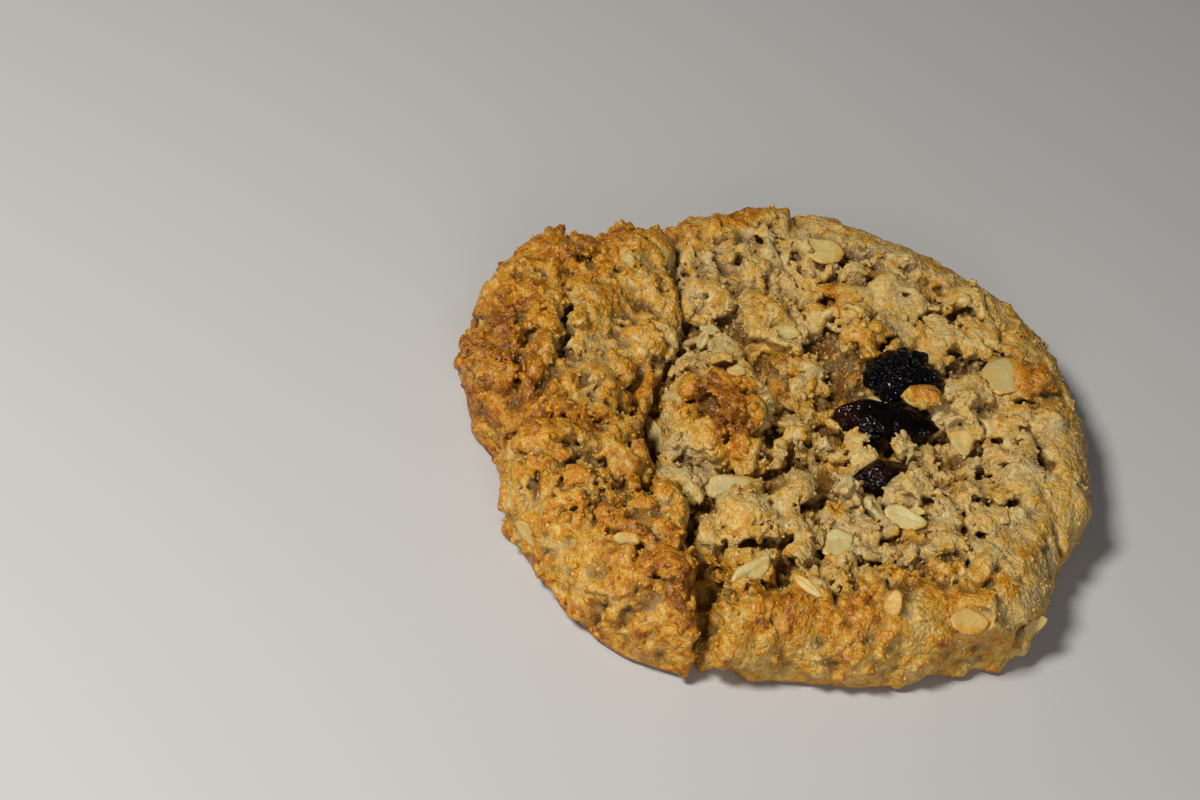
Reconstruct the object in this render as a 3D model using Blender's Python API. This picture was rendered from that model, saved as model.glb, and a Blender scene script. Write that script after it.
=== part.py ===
"""One oatmeal raisin cookie: a baked round of dough with three raisins set in its top.

Metres, +Z up. The origin is at the middle of the underside, and the front of the rim, which split
open in the oven, is towards -Y. Lengths in the tables are millimetres.
"""

import math
import random

import bmesh
import bpy
from mathutils import Euler, Vector, noise

MM = 0.001

# Driving dimensions of the round of dough.
RIM_HEIGHT = 11.0
MIDDLE_HEIGHT = 7.9
DISH_RADIUS = 30.0
DISH_INSIDE = 12.0
DISH_OUTSIDE = 5.0
SLAB_RISE = 1.6
SLAB_RISE_WIDTH = 5.0

# Radius of the outline every 15 degrees, from -180 degrees round to 165.
OUTLINE_STEP = 15
OUTLINE_RADII = (
    40.9, 38.8, 36.0, 38.4, 39.8, 42.2, 40.6, 38.2, 38.6, 38.5, 41.1, 38.2,
    39.3, 40.4, 41.8, 44.2, 45.1, 44.2, 44.6, 44.6, 39.8, 37.2, 41.8, 42.1,
)

# The side of the round: how far in from the outline, and how high as a share of the rim.
SIDE_PROFILE = (
    (2.6, 0.00), (1.1, 0.05), (0.3, 0.16), (0.0, 0.34), (0.2, 0.52),
    (0.8, 0.70), (1.9, 0.85), (3.4, 0.95), (5.2, 1.00),
)
AROUND = 120
INNER_RINGS = 14

# The browned slab on the left broke away along this line, from the back rim to the front one.
BREAK_LINE = (
    (-21.5, 30.0), (-19.0, 21.0), (-16.0, 13.0), (-15.4, 5.0), (-15.8, -3.0),
    (-14.6, -11.0), (-11.0, -18.5), (-6.5, -24.0), (-3.5, -30.0), (-1.2, -36.0), (-0.4, -42.0),
)

# Open breaks: name, path, width at the surface and depth at each end of the path.
BREAKS = (
    ("slab_break_back", ((-21.5, 31.0), (-19.5, 24.5), (-18.2, 19.0), (-15.6, 12.0)), (4.2, 2.0), (5.6, 3.6)),
    ("slab_break_middle", ((-15.6, 12.0), (-15.2, 5.0), (-15.8, -1.0), (-14.8, -8.0)), (1.8, 2.6), (3.2, 4.6)),
    ("slab_break_low", ((-14.8, -8.0), (-13.6, -13.0), (-11.6, -17.6)), (2.8, 1.6), (4.6, 2.6)),
    ("slab_break_front", ((-9.0, -19.5), (-6.6, -23.5), (-4.8, -28.0), (-1.6, -35.0)), (2.4, 4.0), (4.0, 8.0)),
    ("rim_split", ((-2.2, -33.0), (-1.0, -37.5), (-0.2, -46.0)), (3.2, 3.0), (9.5, 13.0)),
    ("back_rim_crack", ((-8.2, 33.0), (-6.4, 29.8), (-3.6, 26.6), (-1.6, 25.4)), (2.6, 1.6), (4.2, 3.0)),
    ("back_rim_nick", ((-6.2, 43.0), (-6.0, 37.0), (-7.2, 33.0)), (2.0, 2.2), (3.0, 3.0)),
    (
        "slab_crack_long",
        ((-31.8, 12.0), (-30.6, 7.0), (-29.6, 3.0), (-28.2, -1.0), (-25.0, -3.6)),
        (1.6, 1.9),
        (2.6, 2.2),
    ),
    ("slab_crack_left", ((-37.0, 8.0), (-35.2, 3.5), (-33.4, 0.0), (-31.6, -3.6)), (1.5, 1.7), (2.0, 2.2)),
    ("slab_crack_low", ((-33.4, -5.4), (-31.8, -9.5), (-30.6, -14.0), (-30.6, -17.0)), (1.6, 1.6), (2.2, 2.0)),
    ("right_rim_crack", ((31.0, 9.5), (32.2, 5.6), (33.8, 2.6)), (1.6, 1.8), (2.4, 2.0)),
    ("right_edge_crack", ((35.2, -3.6), (35.8, -7.6), (37.6, -12.0)), (1.6, 2.0), (3.0, 4.0)),
)

CRACK_STEP = 1.6
CRACK_WANDER = 1.3
CRACK_WANDER_NOISE = (0.45, 7.0)
CRACK_UNEVENNESS = 0.6
CRACK_WIDTH_NOISE = (0.5, 3.0)

# Half widths of a blade at its top, halfway down and at its foot, as shares of the crack's half width.
BLADE_TOP = 1.25
BLADE_MIDDLE = 0.85
BLADE_FOOT = 0.3
BLADE_STANDS_OVER = 5.0

# Hollows in the top: name, x, y, half width, half length, depth below the top.
HOLLOWS = (
    ("deep_hollow", -3.4, 6.8, 4.0, 4.0, 5.0),
    ("hollow_under_flake", -14.2, -12.6, 2.4, 3.6, 4.6),
    ("hollow_behind_split", -3.2, -28.0, 2.8, 3.4, 5.4),
    ("hollow_low_right", 9.8, -23.6, 2.6, 2.4, 3.6),
    ("hollow_middle", 1.8, -13.0, 2.2, 2.6, 2.8),
    ("hollow_by_raisins", 6.6, -1.6, 1.8, 2.0, 3.0),
    ("hollow_right", 26.4, 1.2, 1.9, 2.2, 2.6),
    ("hollow_back", 13.8, 30.4, 1.8, 2.6, 2.4),
    ("hollow_back_left", -18.6, 27.6, 3.0, 2.6, 3.4),
)

HOLLOW_STANDS_OVER = 1.5
HOLLOW_ROUGHNESS = 0.2

# Lumps: name, x, y, half width, half length, top height, turn in degrees.
LUMPS = (
    ("brown_lump", -7.6, -3.0, 6.2, 5.6, 13.6, 20),
    ("brown_lump_head", -8.6, 1.6, 4.6, 3.6, 13.2, -20),
    ("brown_lump_side", -4.0, -5.6, 3.6, 4.8, 12.8, 10),
    ("brown_lump_foot", -8.0, -8.6, 4.2, 3.4, 11.4, 0),
    ("raisin_lump", 7.4, 18.0, 4.6, 4.0, 12.6, -15),
    ("raisin_lump_back", 4.8, 20.8, 3.6, 3.0, 12.4, 10),
    ("raisin_lump_front", 7.0, 12.6, 2.0, 3.6, 11.8, 12),
    ("lump_beside_raisins", 21.4, 10.6, 2.8, 3.6, 11.6, 20),
    ("lump_before_raisins", 12.4, 0.2, 4.4, 2.7, 11.5, 18),
    ("crumb_on_raisins", 15.8, 8.5, 2.8, 2.0, 12.9, 20),
    ("lump_over_sunken_raisin", 16.4, -6.8, 2.6, 2.0, 10.9, 30),
    ("pale_lump_middle", 3.0, -3.8, 3.8, 4.2, 10.8, -10),
    ("pale_lump_low", 4.0, -13.6, 3.4, 4.0, 11.2, -15),
    ("pale_lump_right", 10.2, -10.8, 2.4, 3.4, 10.8, 15),
    ("pale_mass_back", -13.4, 18.8, 4.4, 5.0, 10.8, 0),
    ("pale_mass_back_left", -16.4, 21.6, 2.2, 3.2, 10.6, 0),
    ("pale_lump_back", -12.0, 30.2, 3.6, 3.0, 11.6, 0),
    ("back_ridge_one", -9.8, 25.4, 1.4, 4.4, 11.2, 14),
    ("back_ridge_two", -8.2, 18.4, 1.3, 3.6, 11.2, 12),
    ("back_ridge_three", -5.4, 19.6, 1.5, 3.4, 10.8, 10),
    ("lump_below_hollow", -3.8, 13.8, 3.0, 2.4, 10.0, -20),
    ("back_roll_one", 18.6, 20.4, 3.2, 2.8, 11.0, -25),
    ("back_roll_two", 13.0, 23.6, 3.2, 2.2, 10.8, -20),
    ("back_roll_three", 25.4, 26.0, 4.0, 3.2, 11.8, -40),
    ("back_rim_lump_one", 7.6, 30.0, 2.2, 3.4, 12.0, -18),
    ("back_rim_lump_two", 12.2, 31.0, 2.0, 3.2, 11.8, -15),
    ("back_rim_lump_three", 3.4, 30.6, 2.4, 3.0, 11.6, 0),
    ("back_rim_lump_four", -2.8, 32.0, 3.4, 3.8, 12.4, 10),
    ("back_rim_lump_five", 19.4, 32.0, 4.6, 3.6, 12.2, -30),
    ("back_rim_lump_six", 9.0, 36.0, 5.0, 2.6, 12.0, -10),
    ("flake_mound", 27.6, 18.6, 3.8, 3.4, 12.6, 20),
    ("right_lump_one", 28.6, 3.4, 3.0, 3.6, 11.2, 35),
    ("right_lump_two", 24.6, -4.6, 2.8, 2.6, 10.8, 0),
    ("right_lump_three", 33.0, 12.0, 2.4, 4.0, 11.4, 20),
    ("right_lump_four", 18.0, -4.4, 2.6, 3.0, 10.6, -10),
    ("right_lump_five", 30.6, -12.6, 3.6, 3.4, 11.4, 30),
    ("right_lump_six", 23.4, -14.6, 3.0, 3.2, 11.2, -10),
    ("flaky_plate", -1.0, -19.2, 3.8, 3.2, 11.6, -35),
    ("flaky_plate_tail", 1.8, -22.8, 2.8, 2.8, 11.2, -30),
    ("pale_ridge", 5.4, -21.6, 1.9, 4.6, 11.0, -8),
    ("rim_lump_front", 6.6, -32.0, 4.0, 3.4, 11.8, 0),
    ("rim_ridge_right", 18.4, -25.4, 2.4, 5.0, 11.8, -10),
    ("rim_lump_right", 28.4, -23.6, 2.8, 3.4, 11.6, 20),
    ("loose_blob", -4.4, -24.2, 2.0, 2.8, 7.8, 0),
    ("slab_hump_one", -25.6, 22.4, 4.6, 4.0, 13.0, -20),
    ("slab_hump_two", -34.0, 17.8, 3.0, 3.6, 12.6, 0),
    ("slab_hump_three", -33.4, 8.6, 3.2, 5.2, 13.0, 20),
    ("slab_hump_four", -26.8, 8.0, 3.0, 7.0, 12.9, 12),
    ("slab_hump_five", -20.6, 14.0, 2.8, 3.4, 12.2, 25),
    ("slab_hump_six", -19.4, 5.6, 3.2, 4.4, 12.4, 10),
    ("slab_hump_seven", -35.4, -2.0, 3.6, 5.4, 12.8, 10),
    ("slab_hump_eight", -30.0, -1.6, 2.2, 4.6, 12.8, 20),
    ("slab_hump_nine", -34.4, -10.0, 3.2, 5.4, 12.6, 12),
    ("slab_hump_ten", -23.4, -8.4, 4.4, 5.6, 12.9, 20),
    ("slab_hump_eleven", -27.8, -14.4, 3.4, 4.4, 12.6, 30),
    ("slab_hump_twelve", -17.8, -17.0, 3.6, 5.0, 12.6, 25),
    ("slab_hump_thirteen", -22.0, -24.0, 5.4, 4.6, 12.4, 35),
    ("slab_hump_fourteen", -10.4, -24.6, 3.0, 5.2, 12.8, 10),
    ("slab_hump_fifteen", -13.0, -31.6, 6.0, 4.6, 11.8, 25),
)
LUMP_ROOT = 4.2
LUMP_ROUGHNESS = 0.16
LUMP_NOISE_PITCH = 1.9
BUMP_NOISE_PITCH = 0.7

# Small clumps that fill the rest of the top: radius range and how many are tried.
CLUMP_RADII = (1.5, 3.0)
CLUMP_TRIES = 1600
CLUMP_REACH = 36.0
CLUMP_STANDS_PROUD = (0.5, 1.9)
RIM_CLUMP_STANDS_PROUD = (0.2, 1.0)
CLUMP_EDGE = 4.5
CLUMP_SPACING = 0.85
CLUMP_LENGTHS = (0.9, 1.4)
CLUMP_ROUGHNESS = 0.224

# Shallow bumps round the side: how many, radius range, height range, and how far they swell out.
SIDE_BUMPS = 44
SIDE_BUMP_RADII = (2.0, 3.8)
SIDE_BUMP_HEIGHTS = (3.0, 7.5)
SIDE_BUMP_SWELLS = (-0.2, 0.45)
SIDE_BUMP_ROUGHNESS = 0.32

# Crumbs baked on to the foot of the rim: name, angle in degrees, radius, how far they stick out.
FOOT_CRUMBS = (
    ("crumb_front_right", -42.5, 1.8, 0.9),
    ("crumb_right", -35.5, 1.5, 1.0),
    ("crumb_front", -55.0, 1.5, 0.7),
    ("crumb_front_left", -135.5, 1.5, 0.7),
    ("crumb_back", 76.0, 1.8, 0.5),
    ("crumb_back_left", 141.0, 1.6, 0.6),
)

# Raisins: name, x, y, middle height, half length, half width, half thickness, turns in degrees.
RAISINS = (
    ("raisin_wrinkled", 13.0, 12.9, 10.3, 5.3, 4.3, 2.6, (12, -6, 38)),
    ("raisin_glossy", 11.9, 4.4, 9.4, 7.5, 3.1, 2.6, (-6, -4, 14)),
    ("raisin_sunken", 13.9, -4.1, 8.2, 4.6, 2.2, 1.9, (-12, -6, 38)),
)
RAISIN_GAP = 0.38

# The raisins' long fold and their wrinkles, as shares of the raisin's size.
FOLD_SWAY = 0.2
FOLD_WAVES = 2.5
FOLD_WIDTH = 0.2
FOLD_DEPTH = 0.2
WRINKLE_DEPTH = 0.28
WRINKLE_PITCH = 2.1
WRINKLE_LEVEL = 0.3

DOUGH_COLOUR = (0.50, 0.30, 0.12, 1.0)
RAISIN_COLOUR = (0.018, 0.008, 0.009, 1.0)

FUSE_VOXEL = 0.8
FINAL_VOXEL = 0.7
DOUGH_SHARE_KEPT = 0.085
RAISIN_SHARE_KEPT = 0.4
POCKET_VOXEL = 0.5
POCKET_SHARE_KEPT = 0.28
TRIM_DEPTH = 0.35
TRIM_BLOCK = (110.0, 110.0, 10.0)
SEED = 41


def clear_scene():
    for thing in list(bpy.data.objects):
        bpy.data.objects.remove(thing)


def material(name, colour, roughness):
    made = bpy.data.materials.new(name)
    made.use_nodes = True
    shader = made.node_tree.nodes["Principled BSDF"]
    shader.inputs["Base Color"].default_value = colour
    shader.inputs["Roughness"].default_value = roughness
    shader.inputs["Metallic"].default_value = 0.0
    return made


def link(name, mesh, helper=False):
    made = bpy.data.objects.new(name, mesh)
    bpy.context.scene.collection.objects.link(made)
    if helper:
        made.hide_render = True
        made.display_type = "WIRE"
    return made


def smooth_step(low, high, value):
    share = min(1.0, max(0.0, (value - low) / (high - low)))
    return share * share * (3 - 2 * share)


def catmull_rom(before, start, end, after, share):
    """The value at share of the way from start to end on a smooth curve through all four."""
    slope_in, slope_out = (end - before) / 2, (after - start) / 2
    gap = end - start
    return start + share * (
        slope_in + share * ((3 * gap - 2 * slope_in - slope_out) + share * (slope_in + slope_out - 2 * gap))
    )


def outline_radius(angle):
    """Radius of the round at an angle in radians, on a closed smooth curve through OUTLINE_RADII."""
    place = (math.degrees(angle) + 180) / OUTLINE_STEP
    first = math.floor(place)
    around = [OUTLINE_RADII[(first + k) % len(OUTLINE_RADII)] for k in (-1, 0, 1, 2)]
    return catmull_rom(*around, place - first)


def break_x(y):
    """Where the line between the slab and the rest lies at this y."""
    for (x1, y1), (x2, y2) in zip(BREAK_LINE, BREAK_LINE[1:]):
        if y2 <= y <= y1:
            return x1 + (x2 - x1) * (y - y1) / (y2 - y1)
    return BREAK_LINE[0][0] if y > BREAK_LINE[0][1] else BREAK_LINE[-1][0]


def slab_rise(x, y):
    """The slab left of the break line stands a little higher than the rest."""
    return SLAB_RISE * smooth_step(0.0, SLAB_RISE_WIDTH, break_x(y) - x)


def dish_height(radius, x, y):
    """Height of the top without its lumps: low in the middle, and rising to the rim."""
    dish = smooth_step(DISH_RADIUS - DISH_INSIDE, DISH_RADIUS + DISH_OUTSIDE, radius)
    return MIDDLE_HEIGHT + (RIM_HEIGHT - MIDDLE_HEIGHT) * dish + slab_rise(x, y)


def dough_round():
    """The round without its lumps: rings up the side profile and inwards over the dished top."""
    shell = bmesh.new()
    rings = []
    for level in range(len(SIDE_PROFILE) + INNER_RINGS):
        ring = []
        for step in range(AROUND):
            angle = 2 * math.pi * step / AROUND - math.pi
            outer = outline_radius(angle)
            crest_inset, _ = SIDE_PROFILE[-1]
            if level < len(SIDE_PROFILE):
                inset, share = SIDE_PROFILE[level]
                radius = outer - inset
            else:
                share = 1.0
                radius = (outer - crest_inset) * (1 - (level + 1 - len(SIDE_PROFILE)) / (INNER_RINGS + 1))
            x, y = radius * math.cos(angle), radius * math.sin(angle)
            height = share * dish_height(max(radius, 0 if share == 1.0 else outer - crest_inset), x, y)
            ring.append(shell.verts.new((x * MM, y * MM, height * MM)))
        if rings:
            for step in range(AROUND):
                after = (step + 1) % AROUND
                shell.faces.new((rings[-1][step], rings[-1][after], ring[after], ring[step]))
        rings.append(ring)
    shell.faces.new(reversed(rings[0]))
    shell.faces.new(rings[-1])
    return shell


def add_lump(shell, x, y, half_width, half_length, top, turn, roughness):
    """An uneven ellipsoid sunk in the dough, its top at the given height."""
    half_height = (LUMP_ROOT + min(half_width, half_length)) / 2
    made = bmesh.ops.create_icosphere(shell, subdivisions=3, radius=1.0)
    spin = Euler((0, 0, math.radians(turn))).to_matrix()
    for vert in made["verts"]:
        uneven = 1 + roughness * noise.noise(vert.co * LUMP_NOISE_PITCH + Vector((x, y, top)))
        shape = Vector((vert.co.x * half_width, vert.co.y * half_length, vert.co.z * half_height)) * uneven
        vert.co = (spin @ shape + Vector((x, y, top - half_height))) * MM


def add_small_clumps(shell, draw):
    """Clumps dropped at random over the top, none on top of another. The rim keeps low ones only."""
    placed = []
    for _ in range(CLUMP_TRIES):
        radius = draw.uniform(*CLUMP_RADII)
        angle, reach = draw.uniform(-math.pi, math.pi), CLUMP_REACH * math.sqrt(draw.random())
        x, y = reach * math.cos(angle), reach * math.sin(angle)
        if any(math.hypot(x - px, y - py) < CLUMP_SPACING * (radius + pr) for px, py, pr in placed):
            continue
        if reach > outline_radius(angle) - CLUMP_EDGE:
            continue
        placed.append((x, y, radius))
        proud = CLUMP_STANDS_PROUD if reach < DISH_RADIUS - 2 else RIM_CLUMP_STANDS_PROUD
        top = dish_height(reach, x, y) + draw.uniform(*proud)
        length = radius * draw.uniform(*CLUMP_LENGTHS)
        add_lump(shell, x, y, radius, length, top, draw.uniform(0, 180), CLUMP_ROUGHNESS)


def add_side_bumps(shell, draw):
    """Shallow swellings all round the side, and the crumbs stuck to its foot."""
    bumps = []
    for _ in range(SIDE_BUMPS):
        radius = draw.uniform(*SIDE_BUMP_RADII)
        reach = draw.uniform(*SIDE_BUMP_SWELLS) - radius
        bumps.append((draw.uniform(-math.pi, math.pi), radius, reach, draw.uniform(*SIDE_BUMP_HEIGHTS)))
    for _, angle, radius, out in FOOT_CRUMBS:
        bumps.append((math.radians(angle), radius, out - radius, radius))
    for angle, radius, reach, height in bumps:
        far = outline_radius(angle) + reach
        made = bmesh.ops.create_icosphere(shell, subdivisions=3, radius=radius)
        for vert in made["verts"]:
            push = noise.noise(vert.co * BUMP_NOISE_PITCH + Vector((far, angle, height)))
            uneven = 1 + SIDE_BUMP_ROUGHNESS * push
            spot = vert.co * uneven + Vector((far * math.cos(angle), far * math.sin(angle), height))
            vert.co = spot * MM


def cutter(name, build):
    shell = bmesh.new()
    build(shell)
    bmesh.ops.recalc_face_normals(shell, faces=shell.faces)
    mesh = bpy.data.meshes.new(name)
    shell.to_mesh(mesh)
    shell.free()
    return link(name, mesh, helper=True)


def spread(ends, share):
    return ends[0] + (ends[1] - ends[0]) * share


def ragged_path(path):
    """Points every CRACK_STEP along the path, pushed to one side or the other: (place, across, share)."""
    corners = [Vector(corner) for corner in path]
    lengths = [(end - start).length for start, end in zip(corners, corners[1:])]
    total, gone, found = sum(lengths), 0.0, []
    for start, end, length in zip(corners, corners[1:], lengths):
        steps = max(1, round(length / CRACK_STEP))
        across = Vector((start.y - end.y, end.x - start.x)).normalized()
        for step in range(steps):
            spot = start.lerp(end, step / steps)
            found.append((spot, across, (gone + length * step / steps) / total))
        gone += length
    found.append((corners[-1], across, 1.0))
    pitch, level = CRACK_WANDER_NOISE
    ragged = []
    for spot, across, share in found:
        push = noise.noise(Vector((*spot, level)) * pitch)
        ragged.append((spot + across * CRACK_WANDER * push, across, share))
    return ragged


def break_cutter(name, path, widths, depths):
    """A blade along the path, widest at the top, that tapers to a narrow foot."""

    pitch, level = CRACK_WIDTH_NOISE

    def build(shell):
        rings = []
        for spot, across, share in ragged_path(path):
            uneven = 1 + CRACK_UNEVENNESS * noise.noise(Vector((*spot, level)) * pitch)
            half = spread(widths, share) / 2 * uneven
            depth = spread(depths, share) * uneven
            floor = dish_height(spot.length, *spot) - depth
            half_way = floor + depth / 2
            top = RIM_HEIGHT + BLADE_STANDS_OVER
            right = [(BLADE_TOP, top), (BLADE_MIDDLE, half_way), (BLADE_FOOT, floor)]
            left = [(-side, height) for side, height in reversed(right)]
            ring = []
            for side, height in right + left:
                edge = spot + across * side * half
                ring.append(shell.verts.new((edge.x * MM, edge.y * MM, height * MM)))
            rings.append(ring)
        for first, second in zip(rings, rings[1:]):
            for side in range(len(first)):
                after = (side + 1) % len(first)
                shell.faces.new((first[side], first[after], second[after], second[side]))
        shell.faces.new(rings[0])
        shell.faces.new(reversed(rings[-1]))

    return cutter(name, build)


def hollow_cutter(name, x, y, half_width, half_length, depth):
    """An uneven ball that scoops a hollow out of the top."""
    middle = dish_height(math.hypot(x, y), x, y) + HOLLOW_STANDS_OVER
    half_height = depth + HOLLOW_STANDS_OVER

    def build(shell):
        add_lump(shell, x, y, half_width, half_length, 0, 0, HOLLOW_ROUGHNESS)
        low = min(vert.co.z for vert in shell.verts)
        high = max(vert.co.z for vert in shell.verts)
        for vert in shell.verts:
            share = (vert.co.z - low) / (high - low)
            vert.co.z = (middle - half_height * (1 - 2 * share)) * MM

    return cutter(name, build)


def raisin_mesh(name, half_sizes, swell=0.0):
    """A wrinkled raisin with a long fold. Swell moves its skin out by so many millimetres."""
    shell = bmesh.new()
    made = bmesh.ops.create_icosphere(shell, subdivisions=4, radius=1.0)
    offset = Vector((len(name), half_sizes[0], half_sizes[1]))
    for vert in made["verts"]:
        unit = vert.co.copy()
        fold = math.exp(-((unit.y - FOLD_SWAY * math.sin(FOLD_WAVES * unit.x)) / FOLD_WIDTH) ** 2)
        wrinkle = abs(noise.noise(unit * WRINKLE_PITCH + offset))
        size = 1 - FOLD_DEPTH * fold - WRINKLE_DEPTH * (WRINKLE_LEVEL - wrinkle)
        vert.co = Vector(unit[axis] * half_sizes[axis] * size for axis in range(3))
    shell.normal_update()
    for vert in shell.verts:
        vert.co = (vert.co + vert.normal * swell) * MM
    mesh = bpy.data.meshes.new(name)
    shell.to_mesh(mesh)
    shell.free()
    mesh.shade_smooth()
    return mesh


def place(thing, x, y, height, turns):
    thing.location = (x * MM, y * MM, height * MM)
    thing.rotation_euler = [math.radians(turn) for turn in turns]


def boolean(target, name, other, operation="DIFFERENCE"):
    cut = target.modifiers.new(name, "BOOLEAN")
    cut.solver = "EXACT"
    cut.operation = operation
    cut.object = other
    return cut


def remesh(target, name, voxel):
    made = target.modifiers.new(name, "REMESH")
    made.mode = "VOXEL"
    made.voxel_size = voxel * MM
    return made


def decimate(target, name, share):
    made = target.modifiers.new(name, "DECIMATE")
    made.ratio = share
    return made


def base_trimmer():
    """A block under the round. What it takes off leaves the flat face that the cookie rests on."""

    def build(shell):
        bmesh.ops.create_cube(shell, size=1.0)
        width, length, height = TRIM_BLOCK
        for vert in shell.verts:
            z = TRIM_DEPTH + (vert.co.z - 0.5) * height
            vert.co = Vector((vert.co.x * width, vert.co.y * length, z)) * MM

    return cutter("base_trimmer", build)


def build_dough(raisin_pockets):
    shell = dough_round()
    for _, x, y, half_width, half_length, top, turn in LUMPS:
        add_lump(shell, x, y, half_width, half_length, top, turn, LUMP_ROUGHNESS)
    draw = random.Random(SEED)
    add_small_clumps(shell, draw)
    add_side_bumps(shell, draw)
    mesh = bpy.data.meshes.new("dough")
    shell.to_mesh(mesh)
    shell.free()
    dough = link("dough", mesh)
    remesh(dough, "fuse lumps", FUSE_VOXEL)
    for name, path, widths, depths in BREAKS:
        boolean(dough, name, break_cutter(name, path, widths, depths))
    for name, *sizes in HOLLOWS:
        boolean(dough, name, hollow_cutter(name, *sizes))
    remesh(dough, "even surface", FINAL_VOXEL)
    decimate(dough, "facets", DOUGH_SHARE_KEPT)
    boolean(dough, "flat base", base_trimmer())
    for name, pocket in raisin_pockets:
        boolean(dough, name + " pocket", pocket)
    dough.data.materials.append(material("baked dough", DOUGH_COLOUR, 0.7))
    return dough


def build_raisins(skin):
    """The raisins, and for each the swollen copy that cuts its pocket."""
    raisins, pockets = [], []
    for name, x, y, height, *half_sizes, turns in RAISINS:
        raisin = link(name, raisin_mesh(name, half_sizes))
        place(raisin, x, y, height, turns)
        decimate(raisin, "facets", RAISIN_SHARE_KEPT)
        raisin.data.materials.append(skin)
        pocket = link(name + "_pocket", raisin_mesh(name, half_sizes, RAISIN_GAP), helper=True)
        place(pocket, x, y, height, turns)
        remesh(pocket, "even surface", POCKET_VOXEL)
        decimate(pocket, "facets", POCKET_SHARE_KEPT)
        raisins.append(raisin)
        pockets.append((name, pocket))
    return raisins, pockets


def stand_on_origin(dough, others):
    """Brings the middle of the underside to the origin, by moving everything under one empty."""
    bpy.context.view_layer.update()
    shown = dough.evaluated_get(bpy.context.evaluated_depsgraph_get())
    corners = [Vector(corner) for corner in shown.bound_box]
    low = Vector(min(corner[axis] for corner in corners) for axis in range(3))
    high = Vector(max(corner[axis] for corner in corners) for axis in range(3))
    holder = bpy.data.objects.new("cookie", None)
    bpy.context.scene.collection.objects.link(holder)
    for thing in [dough, *others]:
        thing.parent = holder
    holder.location = (-(low.x + high.x) / 2, -(low.y + high.y) / 2, -low.z)


def main():
    clear_scene()
    raisins, pockets = build_raisins(material("raisin skin", RAISIN_COLOUR, 0.35))
    dough = build_dough(pockets)
    helpers = [thing for thing in bpy.data.objects if thing.hide_render]
    stand_on_origin(dough, raisins + helpers)


main()
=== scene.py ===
"""The looks of one oatmeal raisin cookie, built on its CAD solids: lumpy baked dough, bare oat flakes,
loose crumbs and wrinkled raisins, on a plain pale floor.

The dough and the raisins are made as distance fields on a grid of points, in millimetres in the row
frame, and turned into meshes at the end. A negative distance is inside.
"""

import math

import bpy
import numpy as np
import openvdb
from mathutils import Matrix, Vector


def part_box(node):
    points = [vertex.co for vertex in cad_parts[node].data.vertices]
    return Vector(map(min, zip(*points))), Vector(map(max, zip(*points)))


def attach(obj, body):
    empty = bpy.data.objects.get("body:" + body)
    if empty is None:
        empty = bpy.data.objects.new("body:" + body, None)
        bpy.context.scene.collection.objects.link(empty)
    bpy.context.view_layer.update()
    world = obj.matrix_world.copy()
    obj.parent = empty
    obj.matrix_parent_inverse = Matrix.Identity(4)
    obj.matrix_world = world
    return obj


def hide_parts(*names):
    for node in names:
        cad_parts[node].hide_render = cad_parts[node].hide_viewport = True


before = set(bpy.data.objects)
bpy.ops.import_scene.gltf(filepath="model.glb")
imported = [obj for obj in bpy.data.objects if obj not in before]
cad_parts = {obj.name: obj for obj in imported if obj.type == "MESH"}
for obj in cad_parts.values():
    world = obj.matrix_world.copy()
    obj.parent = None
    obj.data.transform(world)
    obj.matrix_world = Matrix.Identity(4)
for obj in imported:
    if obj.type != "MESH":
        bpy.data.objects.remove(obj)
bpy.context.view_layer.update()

MM = 0.001
SEED = 20
DOUGH_VOXEL = 0.27
RAISIN_VOXEL = 0.13
DOUGH_TRIANGLES = 196000
CRUMB_SHARE = 1.0

# The tables' own origin, from which x and y are read, lies here in the row frame.
TABLE_ORIGIN = (0.83, -1.61)

# Features are placed as they look from the front, 40 degrees above the table: where the line of sight
# to them crosses the level plane at READING_HEIGHT.
READING_HEIGHT = 10.0
SIGHT_ELEVATION = math.radians(40)
SIGHT_SLOPE = 1 / math.tan(SIGHT_ELEVATION)

# The browned slab on the left ends at this line, from the back rim to the front one.
BREAK_LINE = (
    (-21.5, 30.0), (-19.0, 21.0), (-16.0, 13.0), (-15.4, 5.0), (-15.8, -3.0),
    (-14.6, -11.0), (-11.0, -18.5), (-6.5, -24.0), (-3.5, -30.0), (-1.2, -36.0), (-0.4, -42.0),
)

# The break closes up towards the back by this much, over this half width, between these values of y.
TROUGH_FILL = 0.85
TROUGH_HALF_WIDTH = 2.6
TROUGH_FILL_FROM = (-9.0, -3.0)

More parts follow.
